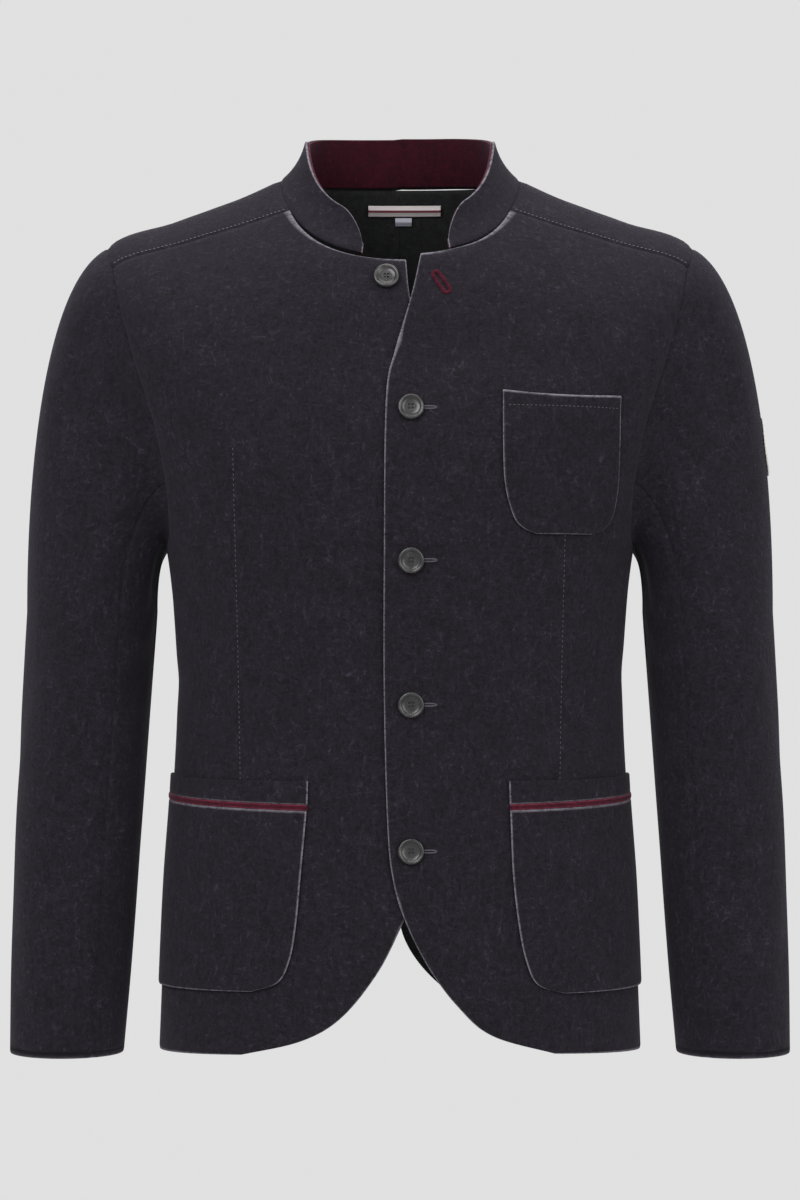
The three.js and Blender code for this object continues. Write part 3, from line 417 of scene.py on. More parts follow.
def felted_wool(name, deep, body, fibre, edge, hair=0.18):
    """Boiled wool: knitted, then milled until the loops felt over. Gives the eye a matt dark ground
    with paler stray hairs lying every way, in soft blotches, a dusty sheen at the rim of its forms
    and pale loose fibre where it is cut."""
    material, tree, shader = new_material(name)
    place = node(tree, "ShaderNodeTexCoord").outputs["Object"]
    swirl = node(tree, "ShaderNodeTexNoise", {"Scale": per_metre(11), "Detail": 3.0, "Roughness": 0.6},
                 {"Vector": place})
    bend = node(tree, "ShaderNodeVectorMath", {"operation": "MULTIPLY_ADD", 1: (0.009, 0.009, 0.009)},
                {0: swirl.outputs["Color"], 2: place})
    hairs = []
    for scale, stretch in ((3.4, (1.0, 1.0, 0.32)), (2.8, (0.35, 0.9, 1.0)), (2.2, (1.0, 0.6, 0.8))):
        turned = (0.3 * scale, 0.5 * scale, 0.8)
        mapped = node(tree, "ShaderNodeMapping", {"Scale": stretch, "Rotation": turned},
                      {"Vector": bend.outputs[0]})
        strands = {"Scale": per_metre(scale), "Detail": 6.0, "Roughness": 0.72, "Distortion": 0.6}
        hairs.append(node(tree, "ShaderNodeTexNoise", strands, {"Vector": mapped.outputs[0]}).outputs["Fac"])
    most = node(tree, "ShaderNodeMath", {"operation": "MAXIMUM"}, {0: hairs[0], 1: hairs[1]}).outputs[0]
    both = node(tree, "ShaderNodeMath", {"operation": "MULTIPLY_ADD", 1: 0.45},
                {0: hairs[2], 2: most}).outputs[0]
    blotch = node(tree, "ShaderNodeTexNoise", {"Scale": per_metre(26), "Detail": 4.0, "Roughness": 0.6},
                  {"Vector": place}).outputs["Fac"]
    mixed = node(tree, "ShaderNodeMath", {"operation": "MULTIPLY_ADD", 1: hair},
                 {0: blotch, 2: both}).outputs[0]
    level = node(tree, "ShaderNodeMath", {"operation": "MULTIPLY", 1: 0.5}, {0: mixed}).outputs[0]
    colour = ramp(tree, level, [(0.36, deep), (0.46, body), (0.56, fibre)])
    raw = node(tree, "ShaderNodeAttribute", {"attribute_name": "raw"}).outputs["Fac"]
    loose = node(tree, "ShaderNodeMapRange", {"From Min": 0.30, "From Max": 0.55}, {"Value": hairs[1]})
    fray = node(tree, "ShaderNodeMath", {"operation": "MULTIPLY"}, {0: raw, 1: loose.outputs[0]}).outputs[0]
    blend = node(tree, "ShaderNodeMix", {"data_type": "RGBA", 7: linear(edge)}, {0: fray, 6: colour})
    tree.links.new(blend.outputs[2], shader.inputs["Base Color"])
    bump = node(tree, "ShaderNodeBump", {"Strength": 0.55, "Distance": 0.0012}, {"Height": both})
    tree.links.new(bump.outputs[0], shader.inputs["Normal"])
    finish = {"Roughness": 0.95, "Specular IOR Level": 0.12, "Sheen Weight": 0.18,
              "Sheen Roughness": 0.6, "Sheen Tint": linear("#6b6675")}
    for socket, value in finish.items():
        shader.inputs[socket].default_value = value
    return material


wool = felted_wool("boiled wool, charcoal melange", "#100d11", "#1b171e", "#36323c", "#77737b")
# The reverse shows the knit before felting: rows of loops, greener and duller.
reverse = felted_wool("boiled wool, knit reverse", "#161717", "#222322", "#333430", "#5c5b58", 0.1)
# Pressed wool felt: even, short-haired and dyed through, with a faint mottle.
felt = felted_wool("wine-red wool felt", "#1d020a", "#2c0410", "#3f0817", "#5c1f2d", 0.2)
piping_felt = felted_wool("bright wine-red felt", "#24040e", "#390a18", "#541426", "#6a2a38", 0.2)


def horn_button():
    """Buffalo horn, turned and polished. Gives near-black with cloudy grey streaks and a soft gloss."""
    material, tree, shader = new_material("polished dark horn")
    place = node(tree, "ShaderNodeTexCoord").outputs["Object"]
    cloud = node(tree, "ShaderNodeTexNoise", {"Scale": per_metre(9), "Detail": 5.0, "Distortion": 1.4},
                 {"Vector": place})
    streaks = [(0.35, "#0d0c0d"), (0.55, "#1b1a1b"), (0.72, "#36342f")]
    tree.links.new(ramp(tree, cloud.outputs["Fac"], streaks), shader.inputs["Base Color"])
    tree.links.new(node(tree, "ShaderNodeMapRange", {"To Min": 0.22, "To Max": 0.36},
                        {"Value": cloud.outputs["Fac"]}).outputs[0], shader.inputs["Roughness"])
    shader.inputs["Specular IOR Level"].default_value = 0.55
    shader.inputs["IOR"].default_value = 1.54
    return material


def woven_tape(name, ground, rib, stripe=None):
    """Woven ribbon: fine ribs across, a slight sheen, and where wanted one plain woven stripe."""
    material, tree, shader = new_material(name)
    place = node(tree, "ShaderNodeTexCoord").outputs["Object"]
    weave = {"Scale": per_metre(2.4), "Distortion": 0.6, "bands_direction": "Z"}
    ribs = node(tree, "ShaderNodeTexWave", weave, {"Vector": place})
    colour = ramp(tree, ribs.outputs["Fac"], [(0.2, rib), (0.7, ground)])
    if stripe:
        mark = node(tree, "ShaderNodeAttribute", {"attribute_name": "stripe"}).outputs["Fac"]
        colour = node(tree, "ShaderNodeMix", {"data_type": "RGBA", 7: linear(stripe)},
                      {0: mark, 6: colour}).outputs[2]
    tree.links.new(colour, shader.inputs["Base Color"])
    tree.links.new(node(tree, "ShaderNodeBump", {"Strength": 0.3, "Distance": 0.0003},
                        {"Height": ribs.outputs["Fac"]}).outputs[0], shader.inputs["Normal"])
    shader.inputs["Roughness"].default_value = 0.6
    return material


horn = horn_button()
label_tape = woven_tape("woven satin label", "#cfc7c6", "#aaa1a2", "#5a1226")
tag_tape = woven_tape("woven size tag", "#a9a9b4", "#8c8c98")
badge_cloth = woven_tape("woven badge", "#74776f", "#55584f", "#c9c7c0")
thread = woven_tape("sewing thread, charcoal", "#3a363f", "#26232a")
pale_thread = woven_tape("sewing thread, grey", "#5a5661", "#3d3a43")

WOOL_SET = [wool, reverse, wool]


# ---- camera, light and floor

CAMERA_AWAY, CAMERA_HEIGHT = 2.6, -0.335
FRAME_TALL = 0.984  # what the picture's height takes in at the body's middle


def add_camera():
    """A level camera square to the front; the lens makes FRAME_TALL fill the height."""
    data = bpy.data.cameras.new("camera")
    data.sensor_fit, data.sensor_height = "VERTICAL", 36.0
    data.lens = 36.0 * CAMERA_AWAY / FRAME_TALL
    data.clip_end = 60
    camera = bpy.data.objects.new("camera", data)
    camera.location = (0, -CAMERA_AWAY, CAMERA_HEIGHT)
    camera.rotation_euler = (np.pi / 2, 0, 0)
    bpy.context.scene.collection.objects.link(camera)
    bpy.context.scene.camera = camera


def add_light(name, place, size, power, colour="#ffffff"):
    """A square area light aimed at the chest."""
    data = bpy.data.lights.new(name, "AREA")
    data.size, data.energy, data.color = size, power, linear(colour)[:3]
    light = bpy.data.objects.new(name, data)
    aim = np.array([0, 0, -0.3]) - place
    light.location = place
    tilt, heading = np.arctan2(np.hypot(aim[0], aim[1]), -aim[2]), np.arctan2(aim[1], aim[0])
    light.rotation_euler = (tilt, 0, heading - np.pi / 2)
    bpy.context.scene.collection.objects.link(light)


def add_floor():
    """A pale floor that sweeps up behind in a quarter circle: a profile carried across."""
    turn = np.linspace(0, np.pi / 2, 24)
    depth = np.concatenate([[-8], 3 + 2 * np.sin(turn), [5]])
    rise = np.concatenate([[-1.55], -1.55 + 2 * (1 - np.cos(turn)), [8]])
    width = np.array([-12, 12])
    points = np.stack(np.broadcast_arrays(width[None, :], depth[:, None], rise[:, None]), -1).reshape(-1, 3)
    material, _, shader = new_material("matt white paper")
    shader.inputs["Base Color"].default_value = linear("#fbfbfb")
    shader.inputs["Roughness"].default_value = 1.0
    shader.inputs["Emission Color"].default_value = linear("#ffffff")
    shader.inputs["Emission Strength"].default_value = 1.15
    make_piece("floor", points, grid_faces(len(depth), 2, flip=True), [material])


add_camera()
add_light("key", (-1.6, -2.6, 1.6), 2.4, 95)
add_light("fill", (2.2, -2.4, 0.6), 2.6, 60)
add_light("top", (0, 0.4, 2.4), 2.6, 60)
add_light("back", (0, 2.6, 0.8), 2.2, 40)
world = bpy.data.worlds.new("studio")
world.use_nodes = True
world.node_tree.nodes["Background"].inputs[0].default_value = linear("#ffffff")
world.node_tree.nodes["Background"].inputs[1].default_value = 0.75
bpy.context.scene.world = world
bpy.context.scene.view_settings.view_transform = "Standard"


# ---- body panels

def armhole_side(hollow, direction):
    """The armhole's edge from shoulder ridge to underarm: a flattened half oval in around and down."""
    turn = np.linspace(0, np.pi, 481)
    drop = (1 - np.cos(turn)) / 2
    inward = hollow * np.maximum(np.sin(turn), 0) ** ARMHOLE_ROUNDNESS
    around = mix(ARMHOLE_TOP, ARMHOLE_BOTTOM, drop) + direction * inward
    return np.stack([around, mix(*ARMHOLE_DOWN, drop)], -1)


FRONT_SIDE, BACK_SIDE = armhole_side(FRONT_HOLLOW, -1), armhole_side(BACK_HOLLOW, 1)
SHOULDER_INDEX = int(np.argmax(FRONT_SIDE[:, 0] < SHOULDER_ARM))
FRONT_ARM = even_places(FRONT_SIDE[SHOULDER_INDEX:], 49)
BACK_ARM = even_places(np.vstack([FRONT_SIDE[SHOULDER_INDEX::-1], BACK_SIDE[1:]]), 61)
FAN_STEPS, SIDE_STEPS, SHOULDER_STEPS = 56, 34, 24


def nudge(places, gap):
    """Places moved along the form's rings by a distance."""
    around, down = places.T
    per_degree = np.linalg.norm(body_point(around + 0.5, down) - body_point(around - 0.5, down), axis=-1)
    return places + np.stack([gap / per_degree, np.zeros(len(places))], -1)


def panel_outer(arm, direction):
    """A left panel's outer edge: shoulder seam, armhole and side seam, pressed into its neighbour."""
    u = np.linspace(0, 1, SHOULDER_STEPS, endpoint=False)
    shoulder = np.stack([mix(SHOULDER_NECK, SHOULDER_ARM, u), mix(0, arm[0, 1], u)], -1)
    upper = np.linspace(ARMHOLE_DOWN[1], FAN_FROM, SIDE_STEPS + 1)[1:]
    lower = np.linspace(FAN_FROM, HEM, FAN_STEPS + 1)[1:]
    side = np.concatenate([upper, lower])
    seam = np.stack([np.full(len(side), ARMHOLE_BOTTOM), side], -1)
    return nudge(np.vstack([shoulder, arm, seam]), -direction * PRESSED)


def panel_inner(outer, edge):
    """The middle edge paired with an outer edge: level down to the fan, then evenly round the hem."""
    level = at_down(edge, np.maximum(outer[:-FAN_STEPS, 1], edge[0, 1]))
    low = edge[edge[:, 1] > FAN_FROM]
    fan = even_places(np.vstack([at_down(edge, np.array([FAN_FROM])), low]), FAN_STEPS + 1)[1:]
    return np.vstack([level, fan])


def panel_grid(inner, outer, across):
    """Straight lines in around and down from the inner edge to the outer edge."""
    places = mix(inner[:, None, :], outer[:, None, :], across[None, :, None])
    around, down = places[..., 0], places[..., 1]
    return body_point(around, down), body_normal(around, down)


def overlap_lift(points):
    """How far the left front stands off the form: all of the overlap by the edge, none by the chest."""
    return OVERLAP * ease((0.078 - points[..., 0]) / 0.044)


def front_panel(name, table, side):
    """A front from its opening edge to the side seam, rounded away at the hem."""
    mirror = np.array([side, 1])
    outer = panel_outer(FRONT_ARM, -1) * mirror
    edge = smooth_curve(table, 240)
    edge = on_front(edge[:, 0], edge[:, 1])
    points, normals = panel_grid(panel_inner(outer, edge), outer, fine_ends(64))
    if side > 0:
        points = points + normals * overlap_lift(points)[..., None]
    piece = cloth_piece(name, points, normals, WOOL, WOOL_SET, raw=("first", "foot", "top"), seam=("last",))
    finish_sheet(piece, name)
    return points, normals


def vent_edge():
    """The back's middle edge: straight down the centre seam, then a quarter oval into the vent."""
    u, turn = np.linspace(0, 1, 60, endpoint=False), np.linspace(0, np.pi / 2, 60)
    straight = np.stack([np.full(60, 180.0), VENT_TOP * u], -1)
    rounded = np.stack([180 - VENT_REACH * (1 - np.cos(turn)), mix(VENT_TOP, VENT_BOTTOM, np.sin(turn))], -1)
    return nudge(np.vstack([straight, rounded]), PRESSED)


def back_panel(name, side):
    """Half the back from the centre seam over the shoulder to the forward shoulder seam."""
    mirror = np.array([side, 1])
    outer = panel_outer(BACK_ARM, 1)
    points, normals = panel_grid(panel_inner(outer, vent_edge()) * mirror, outer * mirror, fine_ends(56))
    piece = cloth_piece(name, points, normals, WOOL, WOOL_SET, raw=("foot",), seam=("first", "last", "top"))
    finish_sheet(piece, name)
    return points, normals


def take_over(piece, node_name):
    """The piece rides on the jacket's one body in place of the solid of that name."""
    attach(piece, "root")
    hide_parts(node_name)


def finish_sheet(piece, node_name):
    take_over(piece, node_name)


# ---- sleeves

FINE_FRONT, FINE_BACK = even_places(FRONT_SIDE, 241), even_places(BACK_SIDE, 241)


def armhole_place(turn):
    """The armhole's place at a turn: 0 at the shoulder ridge, 180 at the underarm, minus behind."""
    wrapped = (np.asarray(turn, float) + 180) % 360 - 180
    at = np.abs(wrapped) / 180 * 240
    column = np.arange(241)
    front = np.stack([np.interp(at, column, FINE_FRONT[:, k]) for k in (0, 1)], -1)
    back = np.stack([np.interp(at, column, FINE_BACK[:, k]) for k in (0, 1)], -1)
    return np.where((wrapped >= 0)[..., None], front, back)


def sleeve_tube(turn, height):
    """An ellipse at a height, its centre drifting out and forward, plus the sleeve's folds."""
    _, out, forward, wide, deep = look_up(SLEEVE_RINGS, height)
    c, s = np.cos(np.radians(turn)), np.sin(np.radians(turn))
    near = (turn + 180) % 360 - 180
    lift = fold_depth(SLEEVE_FOLDS, near, height / MM, 1.0)
    return np.stack([out + (wide + lift) * c, -forward - (deep + lift) * s, height + 0 * c], -1)


def sleeve_point(turn, along):
    """Cap, 0 to 1: a cubic Bezier from the armhole to the tube's first ring; 1 to 2: the tube."""
    turn, along = np.broadcast_arrays(np.asarray(turn, float), np.asarray(along, float))
    top, cuff = SLEEVE_RINGS[0, 0], SLEEVE_RINGS[-1, 0]
    tube = sleeve_tube(turn, mix(top, cuff, np.clip(along - 1, 0, 1)))
    place = armhole_place(turn)
    start, normal = body_point(place[..., 0], place[..., 1]), body_normal(place[..., 0], place[..., 1])
    before, after = armhole_place(turn - 2), armhole_place(turn + 2)
    edge = body_point(after[..., 0], after[..., 1]) - body_point(before[..., 0], before[..., 1])
    away = unit(np.cross(normal, edge))
    end = sleeve_tube(turn, np.full(turn.shape, top))
    under = (1 - np.cos(np.radians(turn))) / 2
    reach, rise = mix(REACH_OVER, REACH_UNDER, under ** 0.6), mix(RISE_OVER, RISE_UNDER, under ** 0.8)
    head = CAP_HEAD * np.maximum(np.cos(np.radians(turn)), 0)
    first = start - away * PRESSED
    second = first + unit(away + normal * head[..., None]) * reach[..., None]
    third = end + (sleeve_tube(turn, np.full(turn.shape, top + MM)) - end) * rise[..., None]
    u = np.clip(along, 0, 1)[..., None]
    cap = (1 - u) ** 3 * first + 3 * u * (1 - u) ** 2 * second + 3 * u**2 * (1 - u) * third + u**3 * end
    return np.where((along >= 1)[..., None], tube, cap)


def sleeve_piece(name, first_turn, last_turn, columns, side):
    """One piece of a two-piece sleeve between two seams, from armhole to cuff."""
    turn = mix(first_turn, last_turn, fine_ends(columns, total=0.2))[None, :]
    cap, tube, cuff = np.linspace(0, 1, 60) ** 1.4, np.linspace(0, 1, 90)[1:-1], [0.012, 0.006, 0.002, 0]
    along = np.concatenate([cap, 1 + tube, 2 - np.array(cuff)])[:, None]
    points = sleeve_point(turn, along)
    normals = -normal_of(sleeve_point, turn, np.clip(along, 0.002, 1.996), 0.5, 0.002)
    place = armhole_place(turn[0])
    normals[0] = body_normal(place[:, 0], place[:, 1])
    points, normals = (part * np.array([side, 1, 1]) for part in (points, normals))
    piece = cloth_piece(name, points, normals, WOOL, WOOL_SET, raw=("foot",), seam=("first", "last", "top"))
    finish_sheet(piece, name)
    return points, normals


# ---- collar

def collar_point(around, rise):
    """From the neck seam up and in: height and lean from the table, straighter towards the edge."""
    around, rise = np.broadcast_arrays(np.asarray(around, float), np.asarray(rise, float))
    foot = body_point(around, 0)
    wrapped = np.abs((around + 180) % 360 - 180)
    _, height, lean = look_up(COLLAR_LEAN, wrapped)
    outward = np.cross(body_point(around + 0.5, 0) - body_point(around - 0.5, 0), np.array([0, 0, 1.0]))
    outward[..., 2] = 0
    outward = unit(outward)
    angle, tall = np.radians(lean) * mix(1.25, 0.75, rise), height * rise
    point = foot - outward * (tall * np.sin(angle))[..., None]
    point[..., 2] = foot[..., 2] - PRESSED + tall * np.cos(angle)
    lift = np.where((around > 0) & (around < 180), overlap_lift(point), 0)
    return point + body_normal(around, np.full(around.shape, 0.5 * MM)) * lift[..., None]


def collar_layer(name, materials, lift, thick, foot, edge):
    """One layer of the stand collar, its two front corners rounded."""
    around = mix(COLLAR_LEFT, 360 + COLLAR_RIGHT, fine_ends(170, total=0.4))
    wrapped = np.abs((around + 180) % 360 - 180)
    end = np.where(around < 180, COLLAR_LEFT, -COLLAR_RIGHT)
    keep = np.maximum(1 - (1 - np.minimum((wrapped - end) / COLLAR_CORNER, 1)) ** 2, 0.06) ** 0.5
    rise = np.concatenate([np.linspace(foot, edge - 0.05, 24), edge - np.array([0.03, 0.015, 0.006, 0])])
    level = rise[:, None] * keep[None, :]
    points = collar_point(around[None, :], level)
    normals = -normal_of(collar_point, around[None, :], np.maximum(level, 0.02), 0.5, 0.01)
    piece = cloth_piece(name, points, normals, thick, materials, lift=lift,
                        raw=("foot", "first", "last"), seam=("top",))
    finish_sheet(piece, name)


# ---- pieces on the fronts

def front_patch(name, inner, outer, raw):
    """A patch between two edge curves on a front, standing off with the left front's overlap."""
    points, normals = panel_grid(inner, outer, fine_ends(40, total=0.12))
    if points[0, 0, 0] > 0:
        points = points + normals * overlap_lift(points)[..., None]
    piece = cloth_piece(name, points, normals, PATCH, WOOL_SET, lift=PATCH + LAY, raw=raw)
    finish_sheet(piece, name)
    return points + normals * (PATCH + LAY), normals


def band_foot(around):
    """The hip band's lower edge, rising a little to the side."""
    return BAND_TOP + mix(BAND_FRONT, BAND_SIDE, (np.abs(around) - 20) / 73)


def hip_strip(name, side, top_of, foot_of, thick, lift, raw, materials):
    """A level strip round the hip from the front to the side seam."""
    start = on_front(HIP_INNER[side], -0.490)[0]
    around = mix(start, side * BAND_OUTER, fine_ends(50, total=0.13))
    steps = fine_ends(6, near=3, span=0.002, total=0.018)[:, None]
    down = mix(top_of(around)[None, :], foot_of(around)[None, :], steps)
    points, normals = body_point(around[None, :], down), body_normal(around[None, :], down)
    if side > 0:
        points = points + normals * overlap_lift(points)[..., None]
    return cloth_piece(name, points, normals, thick, materials, lift=lift, raw=raw), points


def hip_pocket(side, label):
    """Band, wine-red piping and patch pocket, one below the other."""
    band, points = hip_strip(f"hip_band_{label}", side, lambda a: np.full(a.shape, BAND_TOP),
                             lambda a: band_foot(a) - SEAM, PATCH, PATCH + LAY, ("first", "foot"), WOOL_SET)
    finish_sheet(band, f"hip_band_{label}")
    piping, _ = hip_strip(f"hip_piping_{label}", side, band_foot, lambda a: band_foot(a) + PIPING,
                          PATCH + 0.6 * MM, PATCH + LAY + 0.6 * MM, ("top", "foot"), [piping_felt])
    take_over(piping, f"hip_piping_{label}")
    edge = smooth_curve(HIP_EDGES[side], 90)
    edge = on_front(edge[:, 0], edge[:, 1])
    top = band_foot(edge[0, 0]) + PIPING + SEAM
    inner = even_places(np.vstack([[edge[0, 0], top], edge[edge[:, 1] > top + MM]]), 70)
    outer_top = band_foot(BAND_OUTER) + PIPING + SEAM
    outer = np.stack([np.full(70, side * BAND_OUTER), np.linspace(outer_top, HIP_BOTTOM, 70)], -1)
    return front_patch(f"hip_pocket_{label}", inner, outer, ("top", "first", "foot"))


def chest_pocket():
    """A patch pocket with rounded lower corners on the left chest."""
    inner, outer = (on_front(*smooth_curve(table, 60).T) for table in (CHEST_INNER, CHEST_OUTER))
    return front_patch("chest_pocket", inner, outer, ("top", "first", "last", "foot"))


# ---- buttons

def button(name, across, height, stand):
    """A turned disc: radius and height from a profile, four round wells pressed into its middle."""
    profile = np.array([
        (0, 0.5), (0.3, 0.5), (0.6, 0.55), (0.72, 0.78), (0.8, 0.95), (0.88, 1.0), (0.95, 0.9),
        (1.0, 0.62), (0.98, 0.3), (0.84, 0.0), (0, 0),
    ])
    dense = smooth_curve(profile, 90)
    dense[:, 0] = np.maximum(dense[:, 0], 0)
    middle = np.linspace(0.001, 0.42, 40)  # close rings, for the wells
    dished = np.stack([middle, np.interp(middle, [0, 0.42], [0.5, 0.51])], -1)
    reached = dense[:, 0].cumsum()
    fine = np.concatenate([dished, dense[reached > reached[0] + 6]])
    doubled = (np.arange(len(fine)) >= len(middle)) & (fine[:, 0] < 0.43) & (fine[:, 1] > 0.4)
    fine = fine[~doubled]
    turn = np.linspace(0, 2 * np.pi, 73)[:-1]
    x = fine[:, :1] * BUTTON_RADIUS * np.cos(turn)
    y = fine[:, :1] * BUTTON_RADIUS * np.sin(turn)
    z = fine[:, 1:] * BUTTON_HEIGHT + 0 * turn
    for quarter in range(4):
        angle = np.pi / 2 * quarter + np.pi / 4
        near = np.hypot(x - HOLE_SPREAD * np.cos(angle), y - HOLE_SPREAD * np.sin(angle))
        well = HOLE_DEPTH * ease((HOLE_RADIUS + 0.15 * MM - near) / (0.3 * MM))
        z -= np.where(z > 0.3 * BUTTON_HEIGHT, well, 0)
    around, down = on_front(across, height)
    centre, axis = body_point(around, down), body_normal(around, down)
    side = unit(np.cross([0, 0, 1.0], axis))
    up = np.cross(axis, side)
    points = centre + axis * stand + x[..., None] * side + y[..., None] * up + z[..., None] * axis
    faces, vertices = face_out(points.reshape(-1, 3), tube_faces(*x.shape))
    piece = make_piece(name, vertices, faces, [horn])
    take_over(piece, name)


# ---- sewing and small trims

def stitches(name, path, normals, pitch, material, thick=0.42 * MM, gap=0.34):
    """Separate stitches along a path: each a spindle, radius sin(pi u)^0.4, sunk at both its ends."""
    length = np.concatenate([[0], np.cumsum(np.linalg.norm(np.diff(path, axis=0), axis=-1))])
    count = max(int(length[-1] / pitch), 1)
    u, turn = np.linspace(0.02, 0.98, 7), np.linspace(0, 2 * np.pi, 7)[:-1]
    at = (np.arange(count)[:, None] + gap / 2 + (1 - gap) * u) * pitch
    line, up = (np.stack([np.interp(at, length, column) for column in part.T], -1)
                for part in (path, normals))
    ahead = unit(np.gradient(line, axis=1))
    aside = np.cross(ahead, up)
    radius = (thick * np.sin(np.pi * u) ** 0.4)[None, :, None, None]
    sink = (thick * (np.sin(np.pi * u) - 0.75))[None, :, None]
    c, s = np.cos(turn)[None, None, :, None], 0.7 * np.sin(turn)[None, None, :, None]
    ring = radius * (c * aside[:, :, None] + s * up[:, :, None])
    vertices = (line + up * sink)[:, :, None] + ring
    faces = np.vstack([tube_faces(7, 6, 42 * k) for k in range(count)])
    piece = make_piece(name, vertices.reshape(-1, 3), faces, [material])
    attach(piece, "root")


def oval_cord(name, centre, right, up, out, half, side, thick, material):
    """A closed cord round an oval slit: centre + half cos t along it, side sin t beside it."""
    t, turn = np.linspace(0, 2 * np.pi, 49)[:-1], np.linspace(0, 2 * np.pi, 9)[:-1]
    line = centre + half * signed_power(np.cos(t), 0.7)[:, None] * right + side * np.sin(t)[:, None] * up
    spread = unit(np.cos(t)[:, None] * right * side + np.sin(t)[:, None] * up * half)
    twist = thick * (1 + 0.14 * np.cos(24 * t))[:, None, None]
    c, s = np.cos(turn)[None, :, None], np.sin(turn)[None, :, None]
    vertices = line[:, None] + twist * (c * spread[:, None] + s * out)
    index = np.arange(48 * 8).reshape(48, 8)
    below, after = np.roll(index, -1, 0), np.roll(index, -1, 1)
    faces = np.stack([index, below, np.roll(below, -1, 1), after], -1).reshape(-1, 4)
    faces, vertices = face_out(vertices.reshape(-1, 3), faces)
    piece = make_piece(name, vertices, faces, [material])
    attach(piece, "root")


def front_frame(across, height, lift):
    """A point on the front with its directions to the wearer's left, up and out."""
    around, down = on_front(across, height)
    out = body_normal(around, down)
    right = unit(np.cross([0, 0, 1.0], out))
    point = body_point(around, down)
    return point + out * (lift + (overlap_lift(point) if across > 0 else 0)), right, np.cross(out, right), out


def front_stitches(name, across, height, lift, material, pitch=STITCH):
    """A row of stitches along a line on a front."""
    places = on_front(across, height)
    points, normals = body_point(places[:, 0], places[:, 1]), body_normal(places[:, 0], places[:, 1])
    lift = lift + (overlap_lift(points) if across[0] > 0 else 0)
    stitches(name, points + normals * (lift + 0 * points[:, 0])[:, None], normals, pitch, material)


def back_tape(name, across, down, half, tall, material, stripe):
    """A woven strip inside the back, bowed a little, with a stripe where |v - 0.5| < 0.12."""
    x, v = np.linspace(-half, half, 60)[None, :] + across, np.linspace(0, 1, 18)[:, None]
    turns = np.linspace(120, 240, 400)
    levels = down + tall * v[:, 0]
    rings = [body_point(turns, np.full(400, level))[:, 0] for level in levels]
    around = np.stack([np.interp(-x[0], -ring, turns) for ring in rings])
    level = levels[:, None] + 0 * around
    points, normals = body_point(around, level), body_normal(around, level)
    bow = 1.2 * MM * np.sin(np.pi * v) ** 2
    points = points - normals * bow[..., None]
    piece = cloth_piece(name, points, normals, TAPE, [material], lift=-WOOL - TAPE_BEHIND)
    mark = np.clip((0.14 - np.abs(v - 0.5)) / 0.04, 0, 1) * stripe + 0 * x
    values = np.concatenate([mark.ravel(), mark.ravel()]).astype(np.float32)
    piece.data.attributes.new("stripe", "FLOAT", "POINT").data.foreach_set("value", values)
    take_over(piece, name)
    return piece


def along_at_height(height):
    """The sleeve's `along` on its outermost line at a height, read off a fine list."""
    steps = np.linspace(0.02, 1, 400)
    return np.interp(-height, -sleeve_point(np.zeros(400), steps)[:, 2], steps)


def sleeve_badge():
    """A round woven patch: height falls at the rim over a raised overlocked edge."""
    centre, radius = along_at_height(BADGE_LEVEL), BADGE_RADIUS
    per_along = np.linalg.norm(sleeve_point(0, centre + 0.01) - sleeve_point(0, centre - 0.01)) / 0.02
    per_turn = np.linalg.norm(sleeve_point(1, centre) - sleeve_point(-1, centre)) / 2
    part, angle = np.linspace(0.02, 1, 26)[:, None], np.linspace(0, 2 * np.pi, 145)[None, :-1]
    turn, along = radius * part * np.sin(angle) / per_turn, centre - radius * part * np.cos(angle) / per_along
    normals = -normal_of(sleeve_point, turn, along, 0.5, 0.004)
    rim = np.clip((part - 0.84) / 0.06, 0, 1)
    raise_rim = 0.35 * MM * rim * (1 + 0.35 * np.cos(72 * angle)) * (1 - np.clip((part - 0.96) / 0.04, 0, 1))
    outer = sleeve_point(turn, along) + normals * (1.5 * MM + raise_rim)[..., None]
    inner = sleeve_point(turn, along) + normals * (0.5 * MM)
    rows = np.concatenate([outer, inner[::-1]])
    faces, vertices = face_out(rows.reshape(-1, 3), tube_faces(*rows.shape[:2]))
    mark = np.broadcast_to(np.concatenate([rim, rim[::-1]]), rows.shape[:2]).ravel()
    piece = make_piece("sleeve_badge", vertices, faces, [badge_cloth], attributes={"stripe": mark})
    take_over(piece, "sleeve_badge")


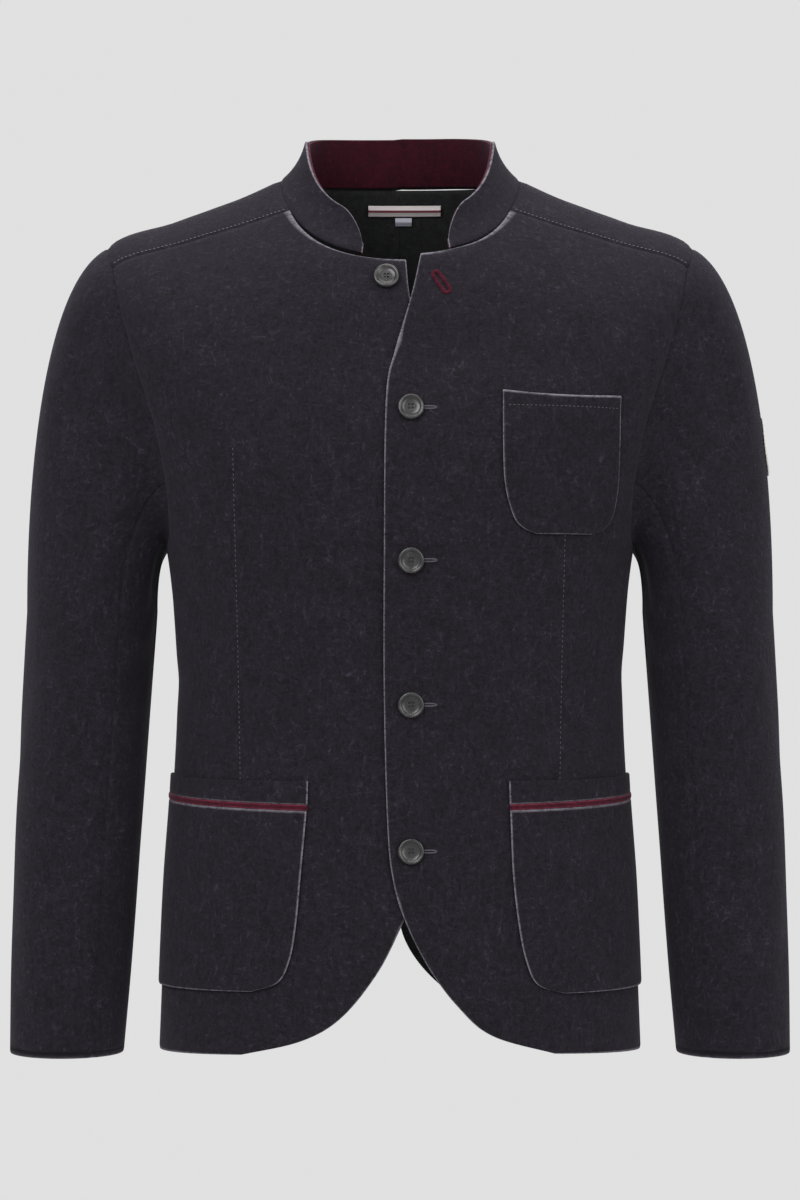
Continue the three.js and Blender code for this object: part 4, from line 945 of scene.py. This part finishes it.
def bound_buttonhole():
    """A felt ring round a slit, slanting down towards the opening."""
    slope = np.radians(BOUND_SLOPE)
    t, v = np.linspace(0, 2 * np.pi, 121)[None, :-1], np.linspace(0, 1, 12)[:, None]
    along = mix(8.6, 11, v) * MM * signed_power(np.cos(t), 0.45)
    beside = mix(1.3, 4.2, v) * MM * signed_power(np.sin(t), 0.6)
    places = on_front(BOUND_HOLE[0] + along * np.cos(slope) - beside * np.sin(slope),
                      BOUND_HOLE[1] + along * np.sin(slope) + beside * np.cos(slope))
    points, normals = body_point(places[..., 0], places[..., 1]), body_normal(places[..., 0], places[..., 1])
    points = points + normals * overlap_lift(points)[..., None]
    swell = 0.55 * MM * np.sin(np.pi * v) ** 0.5
    outer = points + normals * (0.8 * MM + swell)[..., None]
    inner = points + normals * (0.35 * MM)
    rows = np.concatenate([outer, inner[::-1], outer[:1]])
    faces, vertices = face_out(rows.reshape(-1, 3), tube_faces(*rows.shape[:2]))
    piece = make_piece("bound_buttonhole", vertices, faces, [piping_felt])
    take_over(piece, "bound_buttonhole")


# ---- make the jacket

front_panel("front_right", RIGHT_EDGE, -1)
front_panel("front_left", LEFT_EDGE, 1)
for side, label in ((-1, "right"), (1, "left")):
    back_panel(f"back_{label}", side)
    sleeve_piece(f"sleeve_{label}_top", BACK_SLEEVE_SEAM - SEAM_TURN, FRONT_SLEEVE_SEAM + SEAM_TURN,
                 110, side)
    sleeve_piece(f"sleeve_{label}_under", FRONT_SLEEVE_SEAM, 360 + BACK_SLEEVE_SEAM, 50, side)
    hip_pocket(side, label)
chest_pocket()
collar_layer("collar_outer", WOOL_SET, 0.0, WOOL, 0.0, 1.0)
collar_layer("collar_facing", [felt], -WOOL - SEAM, FELT, 0.05, 0.99)
button("button_1", *TOP_BUTTON, BUTTON_STAND)
for index, height in enumerate(BUTTON_LEVELS):
    button(f"button_{index + 2}", BUTTON_LINE, height, OVERLAP + BUTTON_STAND)

neck_label = back_tape("neck_label", *NECK_LABEL, label_tape, 1)
back_tape("size_tag", *SIZE_TAG, tag_tape, 0)
sleeve_badge()
bound_buttonhole()

for index, height in enumerate(BUTTON_LEVELS):
    centre, right, up, out = front_frame(22.5 * MM, height, 0.1 * MM)
    oval_cord(f"worked_hole_{index + 2}", centre, right, up, out, 6 * MM, 1.0 * MM, 0.75 * MM, thread)
for side, label in ((-1, "right"), (1, "left")):
    steps = np.linspace(0.02, 0.98, 90)
    around = side * (mix(SHOULDER_NECK, SHOULDER_ARM, steps) + 1.2)
    down = steps * FRONT_ARM[0, 1]
    up = body_normal(around, down)
    seam = body_point(around, down) + up * 0.15 * MM
    stitches(f"shoulder_stitching_{label}", seam, up, STITCH, pale_thread)
    height = np.linspace(-0.215, -0.480, 80)
    across = side * mix(0.131, 0.126, np.linspace(0, 1, 80))
    front_stitches(f"dart_{label}", across, height, -0.05 * MM, thread, 4 * MM)
steps = np.linspace(0, 1, 60)
front_stitches("chest_hem", mix(0.084, 0.171, steps), -0.183 - 0.001 * steps, PATCH + LAY, thread)
